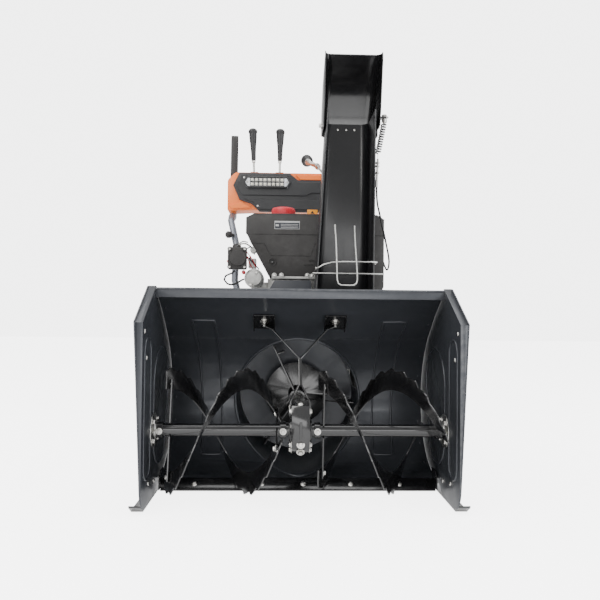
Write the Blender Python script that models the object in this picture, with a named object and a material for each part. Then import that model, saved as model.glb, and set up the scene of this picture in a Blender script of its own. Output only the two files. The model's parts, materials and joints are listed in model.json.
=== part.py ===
"""Two-stage snow blower, modelled as an assembly of separate closed solids.

Metres, +Z up. Every function works in the machine's own frame: X to the right of someone
facing the intake, Y from the intake's front edge towards the operator, Z from the ground.
The root empty then centres the assembly over its own footprint.
"""
import math

import bmesh
import bpy
from mathutils import Matrix, Vector

GAP = 0.0004               # clearance between pieces that touch
REAR = 1.4236              # ends of the grips

# intake
HALF_WIDTH = 0.380         # outside of a side plate
PLATE = 0.003              # side plate thickness
SKIN = 0.0025              # wrap sheet thickness
LIP = (0.142, 0.542)       # top front edge of the wrap, as (y, z)
KNEE = (0.240, 0.479)      # where the sloping ceiling starts to bend
BACK_Z = 0.225             # height where the back wall is vertical
UPPER_ARC = (0.150, 0.254)     # centre y and radius of the wrap above BACK_Z
LOWER_ARC = (0.214, 0.190)     # centre y and radius of the wrap below BACK_Z
FLANGE = 0.018             # outward flange on the side plates' front edges
HEM_HEIGHT = 0.023         # folded strip along the lip

# augers and impeller
AUGER_Y, AUGER_Z = 0.133, 0.182
FLIGHT_OUT, FLIGHT_IN = 0.162, 0.108
FRONT = AUGER_Y - FLIGHT_OUT   # the flights stand proud of the intake
FLIGHT_THICK = 0.004
TUBE_OUT, TUBE_IN = 0.016, 0.0131
SHAFT_R = 0.0127
DRUM_Z = 0.223             # impeller axis height
DRUM_R = 0.184             # inside of the impeller drum
DRUM_BACK = 0.575
IMPELLER_R = 0.174
IMPELLER_SHAFT_R = 0.0095
WORM_WHEEL_R = 0.0325

# chute
CHUTE_X, CHUTE_Y = 0.143, 0.485   # axis that the chute turns on
NECK_R = 0.084
COLLAR_R = 0.094
CHUTE_FOOT, CHUTE_TOP = 0.4975, 1.113
DEFLECTOR_AXIS = (0.500, 1.090)   # y and z of the deflector's hinge
PINION_AT = (0.1725, 0.595)
PINION_R = 0.0193

# drive
CRANK_Z = 0.500            # engine crankshaft height
SHROUD_TOP = 0.8185
DISC_Z = 0.310             # friction drive disc axis height
WHEEL_Y, WHEEL_R, WHEEL_X, WHEEL_WIDTH = 0.850, 0.205, 0.255, 0.130
RIM_R = 0.100
DECK_Z = 0.400             # top of the tractor frame
FRAME_HALF = 0.150

# handlebars and console
BAR_R = 0.0135
SPEED_X, DEFLECT_X = -0.165, -0.064
LEVER_PIVOT = (1.040, 0.960)
CLUTCH_PIVOT = (1.100, 0.945)
CRANK_TIP = Vector((0.095, 1.100, 1.105))
ROD_FOOT = Vector((PINION_AT[0], 0.652, 0.872))

COLOURS = {
    # name: (colour, roughness, metallic)
    "housing_paint": ((0.085, 0.092, 0.105), 0.38, 0.6),
    "gloss_black": ((0.012, 0.012, 0.013), 0.22, 0.3),
    "steel": ((0.62, 0.62, 0.60), 0.35, 1.0),
    "cast": ((0.55, 0.55, 0.53), 0.5, 0.9),
    "chute_paint": ((0.060, 0.060, 0.064), 0.40, 0.4),
    "plastic_black": ((0.020, 0.018, 0.017), 0.55, 0.0),
    "orange": ((0.95, 0.25, 0.04), 0.40, 0.0),
    "fascia": ((0.055, 0.060, 0.066), 0.50, 0.0),
    "red": ((0.72, 0.04, 0.06), 0.40, 0.0),
    "amber": ((0.90, 0.38, 0.02), 0.45, 0.0),
    "tube_grey": ((0.20, 0.21, 0.24), 0.40, 0.5),
    "rubber": ((0.018, 0.018, 0.018), 0.80, 0.0),
    "lens": ((0.85, 0.88, 0.92), 0.10, 0.0),
    "cable": ((0.015, 0.015, 0.015), 0.50, 0.0),
}


def clear_scene():
    for obj in list(bpy.data.objects):
        bpy.data.objects.remove(obj, do_unlink=True)


def material(name):
    found = bpy.data.materials.get(name)
    if found:
        return found
    colour, roughness, metallic = COLOURS[name]
    made = bpy.data.materials.new(name)
    made.use_nodes = True
    shader = made.node_tree.nodes["Principled BSDF"]
    shader.inputs["Base Color"].default_value = (*colour, 1.0)
    shader.inputs["Roughness"].default_value = roughness
    shader.inputs["Metallic"].default_value = metallic
    made.diffuse_color = (*colour, 1.0)
    return made


# ---- solids -----------------------------------------------------------------------------

def from_bmesh(bm):
    """Make an object of a closed bmesh, its faces turned out."""
    bmesh.ops.remove_doubles(bm, verts=bm.verts, dist=1e-6)
    bmesh.ops.recalc_face_normals(bm, faces=bm.faces)
    mesh = bpy.data.meshes.new("solid")
    bm.to_mesh(mesh)
    bm.free()
    obj = bpy.data.objects.new("solid", mesh)
    bpy.context.scene.collection.objects.link(obj)
    return obj


def evaluated(obj):
    bpy.context.view_layer.update()
    graph = bpy.context.evaluated_depsgraph_get()
    return bpy.data.meshes.new_from_object(obj.evaluated_get(graph))


def combine(operation, base, others):
    """Apply exact Booleans of the other solids to base, and drop them."""
    for other in others:
        modifier = base.modifiers.new(operation, "BOOLEAN")
        modifier.operation = operation
        modifier.object = other
        base.data = evaluated(base)
        base.modifiers.clear()
        bpy.data.objects.remove(other, do_unlink=True)
        weld(base.data)
    return base


def weld(mesh):
    """Merge the near-coincident points that a Boolean can leave."""
    bm = bmesh.new()
    bm.from_mesh(mesh)
    bmesh.ops.remove_doubles(bm, verts=bm.verts, dist=5e-6)
    bmesh.ops.dissolve_degenerate(bm, edges=bm.edges, dist=5e-6)
    bm.to_mesh(mesh)
    bm.free()


def union(base, *others):
    return combine("UNION", base, others)


def cut(base, *others):
    return combine("DIFFERENCE", base, others)


def to_space(axis, first, second, along):
    """Place 2-D outline coordinates on the plane that the named axis is normal to."""
    return {"X": (along, first, second), "Y": (first, along, second),
            "Z": (first, second, along)}[axis]


def prism(outline, axis, low, high):
    bm = bmesh.new()
    verts = [bm.verts.new(to_space(axis, a, b, low)) for a, b in outline]
    face = bm.faces.new(verts)
    grown = bmesh.ops.extrude_face_region(bm, geom=[face])
    moved = [g for g in grown["geom"] if isinstance(g, bmesh.types.BMVert)]
    bmesh.ops.translate(bm, verts=moved, vec=to_space(axis, 0.0, 0.0, high - low))
    return from_bmesh(bm)


def box(low, high):
    outline = [(low[0], low[1]), (high[0], low[1]), (high[0], high[1]), (low[0], high[1])]
    return prism(outline, "Z", low[2], high[2])


def frame_along(direction):
    """Rotation that takes +Z to the direction."""
    return Vector(direction).to_track_quat("Z", "Y").to_matrix().to_4x4()


def turned(profile, foot, direction, steps=24):
    """Spin a closed profile of (radius, distance along) about a line from foot."""
    bm = bmesh.new()
    verts = [bm.verts.new((radius, 0.0, along)) for radius, along in profile]
    edges = [bm.edges.new((verts[i], verts[(i + 1) % len(verts)]))
             for i in range(len(verts))
             if profile[i][0] > 0 or profile[(i + 1) % len(verts)][0] > 0]
    bmesh.ops.spin(bm, geom=verts + edges, cent=(0, 0, 0), axis=(0, 0, 1),
                   angle=math.tau, steps=steps)
    bmesh.ops.remove_doubles(bm, verts=bm.verts, dist=1e-6)
    place = Matrix.Translation(Vector(foot)) @ frame_along(direction)
    bmesh.ops.transform(bm, matrix=place, verts=bm.verts)
    return from_bmesh(bm)


def rod(start, end, radius, steps=12):
    run = Vector(end) - Vector(start)
    profile = [(0, 0), (radius, 0), (radius, run.length), (0, run.length)]
    return turned(profile, start, run, steps)


def ring(start, end, inner, outer, steps=24):
    run = Vector(end) - Vector(start)
    profile = [(inner, 0), (outer, 0), (outer, run.length), (inner, run.length)]
    return turned(profile, start, run, steps)


def loft(rings):
    """Closed solid through rings of points, all with the same count, capped at both ends."""
    bm = bmesh.new()
    levels = [[bm.verts.new(point) for point in points] for points in rings]
    count = len(levels[0])
    for lower, upper in zip(levels, levels[1:]):
        for i in range(count):
            j = (i + 1) % count
            bm.faces.new((lower[i], lower[j], upper[j], upper[i]))
    bm.faces.new(levels[0])
    bm.faces.new(levels[-1])
    return from_bmesh(bm)


def smooth_route(points, step):
    """Points a step apart on a Catmull-Rom curve through the given ones."""
    knots = [Vector(p) for p in points]
    knots = [2 * knots[0] - knots[1]] + knots + [2 * knots[-1] - knots[-2]]
    route = []
    for a, b, c, d in zip(knots, knots[1:], knots[2:], knots[3:]):
        pieces = max(1, round((c - b).length / step))
        for i in range(pieces):
            t = i / pieces
            route.append(0.5 * (2 * b + (c - a) * t + (2 * a - 5 * b + 4 * c - d) * t ** 2
                                + (3 * b - a - 3 * c + d) * t ** 3))
    return route + [knots[-2]]


def swept(points, radius, resolution=3):
    """Round bar along a polyline, with filled caps."""
    curve = bpy.data.curves.new("route", "CURVE")
    curve.dimensions = "3D"
    curve.bevel_depth = radius
    curve.bevel_resolution = resolution
    curve.use_fill_caps = True
    spline = curve.splines.new("POLY")
    spline.points.add(len(points) - 1)
    for knot, point in zip(spline.points, points):
        knot.co = (*point, 1.0)
    obj = bpy.data.objects.new("route", curve)
    bpy.context.scene.collection.objects.link(obj)
    mesh = evaluated(obj)
    bpy.data.objects.remove(obj, do_unlink=True)
    bm = bmesh.new()
    bm.from_mesh(mesh)
    return from_bmesh(bm)


# ---- outlines ---------------------------------------------------------------------------

def arc(centre, radius, start, end, steps):
    """Points on an arc, angles in degrees."""
    angles = [math.radians(start + (end - start) * i / steps) for i in range(steps + 1)]
    return [(centre[0] + radius * math.cos(a), centre[1] + radius * math.sin(a))
            for a in angles]


def offset_line(points, distance):
    """Shift an open polyline sideways, to the left of its direction."""
    vectors = [Vector(p) for p in points]
    shifted = []
    for i, here in enumerate(vectors):
        normals = []
        if i > 0:
            run = (here - vectors[i - 1]).normalized()
            normals.append(Vector((-run.y, run.x)))
        if i < len(vectors) - 1:
            run = (vectors[i + 1] - here).normalized()
            normals.append(Vector((-run.y, run.x)))
        mean = sum(normals, Vector((0, 0))).normalized()
        shifted.append(tuple(here + mean * distance / mean.dot(normals[0])))
    return shifted


def strip_outline(points, thickness):
    """Closed outline of a sheet whose one face is the polyline."""
    return list(points) + offset_line(points, thickness)[::-1]


def rounded_outline(corners, radius, steps=3):
    """Polygon with each corner rounded by a short curve."""
    result = []
    count = len(corners)
    for i, corner in enumerate(corners):
        here = Vector(corner)
        before = (Vector(corners[i - 1]) - here)
        after = (Vector(corners[(i + 1) % count]) - here)
        reach = min(radius, before.length / 2.1, after.length / 2.1)
        start = here + before.normalized() * reach
        end = here + after.normalized() * reach
        for k in range(steps + 1):
            t = k / steps
            result.append(tuple((1 - t) ** 2 * start + 2 * t * (1 - t) * here + t ** 2 * end))
    return result


def place(root, name, colour, obj, pivot=(0.0, 0.0, 0.0), smooth=True):
    """Name a finished solid, give it its material, and set its origin at the pivot."""
    mesh = obj.data
    mesh.transform(Matrix.Translation(-Vector(pivot)))
    mesh.materials.clear()
    mesh.materials.append(material(colour))
    if smooth:
        mesh.shade_smooth()
        mesh.set_sharp_from_angle(angle=math.radians(35))
    obj.name = name
    mesh.name = name
    obj.parent = root
    obj.location = pivot
    return obj


# ---- intake -----------------------------------------------------------------------------

def wrap_line():
    """Inside of the wrap in (y, z), from the lip back and round to the bottom front edge."""
    line = [LIP, KNEE]
    line += arc((UPPER_ARC[0], BACK_Z), UPPER_ARC[1], 52, 0, 10)
    line += arc((LOWER_ARC[0], BACK_Z), LOWER_ARC[1], 0, -87, 14)[1:]
    return line


def build_intake(root):
    line = wrap_line()
    reach = HALF_WIDTH - PLATE - GAP
    wrap = prism(strip_outline(line, SKIN), "X", -reach, reach)
    hem = box((-reach, LIP[0] - 0.003, LIP[1] - HEM_HEIGHT + 0.003),
              (reach, LIP[0] + 0.0005, LIP[1] + 0.003))
    wrap = union(wrap, hem)
    opening = rod((0, 0.19, DRUM_Z), (0, 0.5, DRUM_Z), DRUM_R + SKIN + GAP, 36)
    place(root, "auger_housing", "housing_paint", cut(wrap, opening))

    edge = offset_line(line, SKIN + 0.009)
    front = [(0.190, 0.0295), (0.150, 0.0065), (0.062, 0.0065)]
    front += arc((0.055, 0.061), 0.055, 260, 180, 5)
    outline = edge + front + [(0.0, LIP[1] - 0.083)]
    corner_z = LIP[1] - 0.083
    slope = [(0.0, corner_z), edge[0]]
    for side, word in ((-1, "left"), (1, "right")):
        inner, outer = sorted((side * (HALF_WIDTH - PLATE), side * HALF_WIDTH))
        plate = prism(outline, "X", inner, outer)
        low, high = sorted((side * (HALF_WIDTH - 0.001), side * (HALF_WIDTH + FLANGE)))
        flange = prism(strip_outline(slope, -SKIN), "X", low, high)
        taper = [(side * (HALF_WIDTH - 0.001), 0.100), (side * (HALF_WIDTH + 0.003), 0.100),
                 (side * (HALF_WIDTH + FLANGE), corner_z),
                 (side * (HALF_WIDTH - 0.001), corner_z)]
        edge_strip = prism(taper, "Y", 0.0, SKIN)
        hole = rod((side * 0.36, AUGER_Y, AUGER_Z), (side * 0.40, AUGER_Y, AUGER_Z),
                   SHAFT_R + GAP, 24)
        place(root, f"side_plate_{word}", "housing_paint", cut(union(plate, flange, edge_strip), hole),
              smooth=False)
        sole = [(0.022, 0.018), (0.050, 0.0), (0.235, 0.0), (0.262, 0.018), (0.262, 0.023),
                (0.234, 0.005), (0.051, 0.005), (0.022, 0.023)]
        near, far = sorted((side * (HALF_WIDTH + GAP), side * 0.410))
        shoe = prism(sole, "X", near, far)
        near, far = sorted((side * (HALF_WIDTH + GAP), side * (HALF_WIDTH + 0.005)))
        wall = prism([(0.052, 0.002), (0.233, 0.002), (0.215, 0.085), (0.070, 0.085)],
                     "X", near, far)
        place(root, f"skid_shoe_{word}", "gloss_black", union(shoe, wall), smooth=False)
        seat = side * (HALF_WIDTH - PLATE - GAP)
        cup = [(SHAFT_R + GAP, 0), (0.0435, 0), (0.0435, 0.003), (0.024, 0.006),
               (0.021, 0.011), (SHAFT_R + GAP, 0.011)]
        bearing = turned(cup, (seat, AUGER_Y, AUGER_Z), (-side, 0, 0), 20)
        place(root, f"auger_bearing_{word}", "steel", bearing)

    blade = [(0.186, 0.0125), (0.190, 0.0085), (0.2235, 0.0300), (0.2235, 0.0360),
             (0.2180, 0.0345)]
    place(root, "scraper_bar", "gloss_black", prism(blade, "X", -0.368, 0.368), smooth=False)

    drum = rod((0, 0.20, DRUM_Z), (0, DRUM_BACK, DRUM_Z), DRUM_R + SKIN, 36)
    neck = rod((CHUTE_X, CHUTE_Y, 0.30), (CHUTE_X, CHUTE_Y, 0.4655), NECK_R, 24)
    rim = rod((CHUTE_X, CHUTE_Y, 0.460), (CHUTE_X, CHUTE_Y, 0.4655), COLLAR_R, 24)
    hollow = rod((0, 0.15, DRUM_Z), (0, DRUM_BACK - 0.003, DRUM_Z), DRUM_R, 36)
    bore = rod((CHUTE_X, CHUTE_Y, 0.25), (CHUTE_X, CHUTE_Y, 0.50), NECK_R - SKIN, 24)
    shaft_hole = rod((0, 0.5, DRUM_Z), (0, 0.6, DRUM_Z), IMPELLER_SHAFT_R + GAP, 24)
    space = prism(line + [(0.0, 0.02), (0.0, 0.60)], "X", -0.3, 0.3)
    housing = cut(union(drum, neck, rim), hollow, bore, shaft_hole, space)
    place(root, "impeller_housing", "housing_paint", housing)


# ---- augers, gearbox and impeller -------------------------------------------------------

def ribbon(side, start_x, end_x, start_angle, turns):
    """Helical strip about the auger shaft; its angle falls with the distance outward."""
    steps = 22
    rings = []
    for i in range(steps + 1):
        x = start_x + (end_x - start_x) * i / steps
        angle = math.radians(start_angle) - math.tau * turns * i / steps
        normal = FLIGHT_THICK / 2
        corners = []
        for radius, shift in ((FLIGHT_IN, -normal), (FLIGHT_OUT, -normal),
                              (FLIGHT_OUT, normal), (FLIGHT_IN, normal)):
            corners.append((side * (x + shift), AUGER_Y - radius * math.cos(angle),
                            AUGER_Z + radius * math.sin(angle)))
        rings.append(corners)
    return loft(rings)


def spoke(side, x, angle):
    """Flat bar from the auger tube out to both ribbons, at one place along the shaft."""
    bar = box((-0.0035, -0.014, -FLIGHT_IN - 0.022), (0.0035, 0.014, FLIGHT_IN + 0.022))
    turn = Matrix.Rotation(math.radians(90 - angle), 4, "X")
    bar.data.transform(Matrix.Translation((side * x, AUGER_Y, AUGER_Z)) @ turn)
    return bar


def build_auger(root, side, word, start_angle):
    """Two ribbons half a turn apart, held to a tube by a flat bar near each end."""
    inner_x, outer_x, turns = 0.048, 0.345, 0.75
    tube = rod((side * 0.030, AUGER_Y, AUGER_Z), (side * 0.362, AUGER_Y, AUGER_Z), TUBE_OUT, 20)
    pieces = []
    for half in (0, 180):
        pieces.append(ribbon(side, inner_x, outer_x, start_angle + half, turns))
    for share in (0.04, 0.96):
        x = inner_x + (outer_x - inner_x) * share
        pieces.append(spoke(side, x, start_angle - 360 * turns * share))
    bore = rod((side * 0.02, AUGER_Y, AUGER_Z), (side * 0.37, AUGER_Y, AUGER_Z), TUBE_IN, 20)
    auger = cut(union(tube, *pieces), bore)
    place(root, f"auger_{word}", "gloss_black", auger, (0, AUGER_Y, AUGER_Z))


def build_gear_train(root):
    centre = (AUGER_Y, AUGER_Z)
    shell = arc(centre, 0.058, 200, 340, 10) + [(0.188, 0.215), (0.180, 0.250), (0.096, 0.250),
                                                (0.080, 0.215)]
    body = prism(shell, "X", -0.0225, 0.0225)
    nose = rod((0, 0.17, DRUM_Z), (0, 0.235, DRUM_Z), 0.024, 24)
    hubs = rod((-0.029, *centre), (0.029, *centre), 0.026, 24)
    inside = arc(centre, 0.047, 200, 340, 10) + [(0.176, 0.215), (0.172, 0.240), (0.104, 0.240),
                                                 (0.089, 0.215)]
    hollow = prism(inside, "X", -0.0165, 0.0165)
    cross = rod((-0.05, *centre), (0.05, *centre), SHAFT_R + GAP, 24)
    along = rod((0, 0.14, DRUM_Z), (0, 0.26, DRUM_Z), IMPELLER_SHAFT_R + GAP, 24)
    place(root, "auger_gearbox", "gloss_black",
          cut(union(body, nose, hubs), hollow, cross, along))

    shaft = rod((-0.386, *centre), (0.386, *centre), SHAFT_R, 20)
    wheel = rod((-0.008, *centre), (0.008, *centre), WORM_WHEEL_R, 32)
    place(root, "auger_shaft", "steel", union(shaft, wheel), (0, *centre))

    shaft = rod((0, 0.110, DRUM_Z), (0, 0.618, DRUM_Z), IMPELLER_SHAFT_R, 20)
    worm_relief = ring((0, 0.105, DRUM_Z), (0, 0.165, DRUM_Z), 0.0078, 0.02, 20)
    place(root, "impeller_shaft", "steel", cut(shaft, worm_relief), (0, 0.4, DRUM_Z))

    bore_r = IMPELLER_SHAFT_R + GAP
    hub = ring((0, 0.425, DRUM_Z), (0, 0.560, DRUM_Z), bore_r, 0.026, 32)
    blades = []
    for angle in (115, 355, 235):
        blade = box((0.0185, -0.0025, 0.0), (IMPELLER_R, 0.0025, 0.114))
        tip = box((IMPELLER_R - 0.030, -0.0010, 0.003), (IMPELLER_R - 0.025, 0.024, 0.109))
        turn = Matrix.Rotation(math.radians(-90), 4, "X")
        aim = Matrix.Rotation(math.radians(-angle), 4, "Y")
        lift = Matrix.Translation((0, 0.432, DRUM_Z))
        for piece in (blade, tip):
            piece.data.transform(lift @ aim @ turn)
            blades.append(piece)
    back = ring((0, 0.545, DRUM_Z), (0, 0.549, DRUM_Z), 0.024, 0.100, 32)
    place(root, "impeller", "gloss_black", union(hub, back, *blades), (0, 0.4, DRUM_Z))

    groove = [(bore_r, 0), (0.090, 0), (0.090, 0.002), (0.083, 0.004), (0.083, 0.0135),
              (0.090, 0.0155), (0.090, 0.0175), (bore_r, 0.0175)]
    place(root, "impeller_pulley", "steel",
          turned(groove, (0, 0.5985, DRUM_Z), (0, 1, 0), 20), (0, 0.6, DRUM_Z))


def build_stay(root):
    """Two straps with their width along Y, from the ceiling down to a fork on the gearbox."""
    route = [(0.100, 0.250, 0.4480), (0.076, 0.250, 0.4390), (0.0022, 0.205, 0.362),
             (0.0022, 0.160, 0.296), (0.0255, 0.142, 0.256), (0.0255, 0.138, 0.222)]
    straps = []
    for side in (-1, 1):
        rings = []
        for x, y, z in route:
            rings.append([(side * (x + dx), y + dy, z) for dx, dy in
                          ((-0.0025, -0.017), (0.0025, -0.017), (0.0025, 0.017),
                           (-0.0025, 0.017))])
        straps.append(loft(rings))
    place(root, "gearbox_stay", "gloss_black", union(*straps), smooth=False)


# ---- chute ------------------------------------------------------------------------------

def channel_ring(centre_x, half, front, back, height, corner=0.030, skin=SKIN):
    """Section of a channel that is open towards -Y, outside then inside."""
    def side_line(inset):
        reach, depth, bend = half - inset, back - inset, corner - inset
        line = [(centre_x + reach, front)]
        line += arc((centre_x + reach - bend, depth - bend), bend, 0, 90, 6)
        line += arc((centre_x - reach + bend, depth - bend), bend, 90, 180, 6)
        return line + [(centre_x - reach, front)]
    return [(x, y, height) for x, y in side_line(0.0) + side_line(skin)[::-1]]


def chute_half(z):
    return 0.090 - 0.016 * (z - CHUTE_FOOT) / (CHUTE_TOP - CHUTE_FOOT)


def chute_mid(z):
    return 0.1400 + 0.0185 * (z - CHUTE_FOOT) / (CHUTE_TOP - CHUTE_FOOT)


def build_chute(root):
    axis = (CHUTE_X, CHUTE_Y, 0.0)
    profile = [(0.0825, 0.0), (COLLAR_R, 0.0), (COLLAR_R, 0.022), (0.0895, 0.0305),
               (0.0825, 0.0305)]
    place(root, "chute_collar", "gloss_black",
          turned(profile, (CHUTE_X, CHUTE_Y, 0.4665), (0, 0, 1), 30), axis)

    levels = [CHUTE_FOOT, 0.70, 0.90, CHUTE_TOP]
    body = loft([channel_ring(chute_mid(z), chute_half(z), 0.400, 0.558, z) for z in levels])
    place(root, "chute", "chute_paint", body, axis)

    y, z = DEFLECTOR_AXIS
    mid = chute_mid(z) + 0.004
    levels = [(1.070, 0.425, 0.572), (1.135, 0.405, 0.572), (1.215, 0.388, 0.520),
              (1.262, 0.377, 0.445), (1.282, 0.381, 0.404)]
    hood = loft([channel_ring(mid, 0.0885, front, back, height,
                              min(0.030, 0.8 * (back - front)))
                 for height, front, back in levels])
    holes = rod((mid - 0.12, y, z), (mid + 0.12, y, z), 0.0045, 16)
    place(root, "chute_deflector", "gloss_black", cut(hood, holes), (mid, y, z))

    left, right = chute_mid(0.64) - 0.0912, chute_mid(0.64) + 0.0912
    upper = smooth_route([(left, 0.408, 0.620), (left, 0.378, 0.618), (0.060, 0.372, 0.622),
                          (0.100, 0.372, 0.638), (right - 0.02, 0.372, 0.640),
                          (right, 0.380, 0.640), (right, 0.408, 0.640)], 0.02)
    lower = smooth_route([(left - 0.012, 0.372, 0.604), (0.10, 0.372, 0.604),
                          (right + 0.018, 0.372, 0.604)], 0.04)
    loop = smooth_route([(0.1065, 0.372, 0.751), (0.1105, 0.370, 0.700),
                         (0.1135, 0.368, 0.620), (0.1150, 0.368, 0.585),
                         (0.1180, 0.368, 0.574), (0.1260, 0.368, 0.569),
                         (0.1640, 0.368, 0.569), (0.1720, 0.368, 0.574),
                         (0.1750, 0.368, 0.585), (0.1735, 0.368, 0.620),
                         (0.1680, 0.370, 0.700), (0.1655, 0.372, 0.7485)], 0.012)
    wires = union(swept(upper, 0.0024, 2), swept(lower, 0.0024, 2), swept(loop, 0.0024, 2))
    place(root, "chute_guard", "steel", wires, axis)

    route = [(0.2755, 0.500, 1.108), (0.2650, 0.500, 1.055), (0.2560, 0.500, 1.004),
             (0.2523, 0.500, 0.917), (0.2540, 0.500, 0.849), (0.2640, 0.503, 0.803),
             (0.2830, 0.510, 0.726), (0.3050, 0.560, 0.660), (0.3180, 0.680, 0.640),
             (0.3180, 0.800, 0.700), (0.3000, 0.873, 0.765), (0.2200, 0.890, 0.800),
             (0.1100, 0.930, 0.835), (0.0100, 0.990, 0.862), (-0.0600, 1.030, 0.885)]
    place(root, "deflector_cable", "cable", swept(smooth_route(route, 0.035), 0.003, 2), axis)


def build_chute_drive(root):
    x, y = PINION_AT
    shaft = rod((x, y, 0.450), (x, y, 0.866), 0.004, 12)
    gear = rod((x, y, 0.4670), (x, y, 0.4960), PINION_R, 24)
    place(root, "chute_pinion", "steel", union(shaft, gear), (x, y, 0.0))
    direction = (CRANK_TIP - ROD_FOOT).normalized()
    head = box((x - 0.0095, y - 0.0065, SHROUD_TOP + 0.0010), (x + 0.0095, 0.668, 0.890))
    foot = box((x - 0.026, 0.610, SHROUD_TOP + 0.0006), (x + 0.026, 0.668, 0.826))
    bore = rod((x, y, 0.80), (x, y, 0.868), 0.0044, 12)
    seat = rod(ROD_FOOT - direction * 0.004, ROD_FOOT + direction * 0.05, 0.0056, 12)
    place(root, "chute_gear_head", "cast", cut(union(head, foot), bore, seat), smooth=False)
    bar = rod(ROD_FOOT, CRANK_TIP, 0.005, 12)
    hub = rod(CRANK_TIP - direction * 0.012, CRANK_TIP + direction * 0.006, 0.0125, 16)
    side = Vector((-0.90, 0.0, 0.44))
    side = (side - direction * side.dot(direction)).normalized()
    other = direction.cross(side)
    arm_end = CRANK_TIP + side * 0.044
    thin, wide = direction * 0.003, other * 0.009
    arm = loft([[p - thin - wide, p + thin - wide, p + thin + wide, p - thin + wide]
                for p in (CRANK_TIP, arm_end + side * 0.009)])
    profile = [(0, 0), (0.013, 0), (0.014, 0.010), (0.0235, 0.018), (0.0235, 0.034),
               (0.018, 0.0405), (0, 0.0405)]
    knob = turned(profile, arm_end, direction, 28)
    place(root, "chute_crank", "steel", union(bar, hub, arm, knob), CRANK_TIP)


# ---- frame, engine and wheels -----------------------------------------------------------

def build_frame(root):
    front, rear, sheet = 0.5780, 0.970, 0.003
    shell = box((-FRAME_HALF, front, 0.120), (FRAME_HALF, rear, DECK_Z))
    room = box((-FRAME_HALF + sheet, front + sheet, 0.10),
               (FRAME_HALF - sheet, rear - sheet, DECK_Z - sheet))
    throat = box((-FRAME_HALF + sheet, front + sheet, 0.30),
                 (FRAME_HALF - sheet, 0.655, DECK_Z + 0.01))
    shaft = rod((0, 0.5, DRUM_Z), (0, 0.6, DRUM_Z), 0.020, 24)
    axle = rod((-0.2, WHEEL_Y, WHEEL_R), (0.2, WHEEL_Y, WHEEL_R), SHAFT_R + GAP, 24)
    place(root, "tractor_frame", "gloss_black", cut(shell, room, throat, shaft, axle),
          smooth=False)

    outer = [(-0.150, 0.4004), (0.150, 0.4004), (0.147, 0.440), (0.0515, 0.488),
             (0.0470, 0.593), (-0.075, 0.593), (-0.147, 0.465)]
    inner = [(-0.147, 0.39), (0.147, 0.39), (0.144, 0.4380), (0.0485, 0.4860),
             (0.0440, 0.590), (-0.0737, 0.590), (-0.144, 0.464)]
    cover = cut(prism(outer, "Y", 0.5822, 0.657), prism(inner, "Y", 0.5852, 0.70))
    place(root, "belt_cover", "plastic_black", cover, smooth=False)


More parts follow.
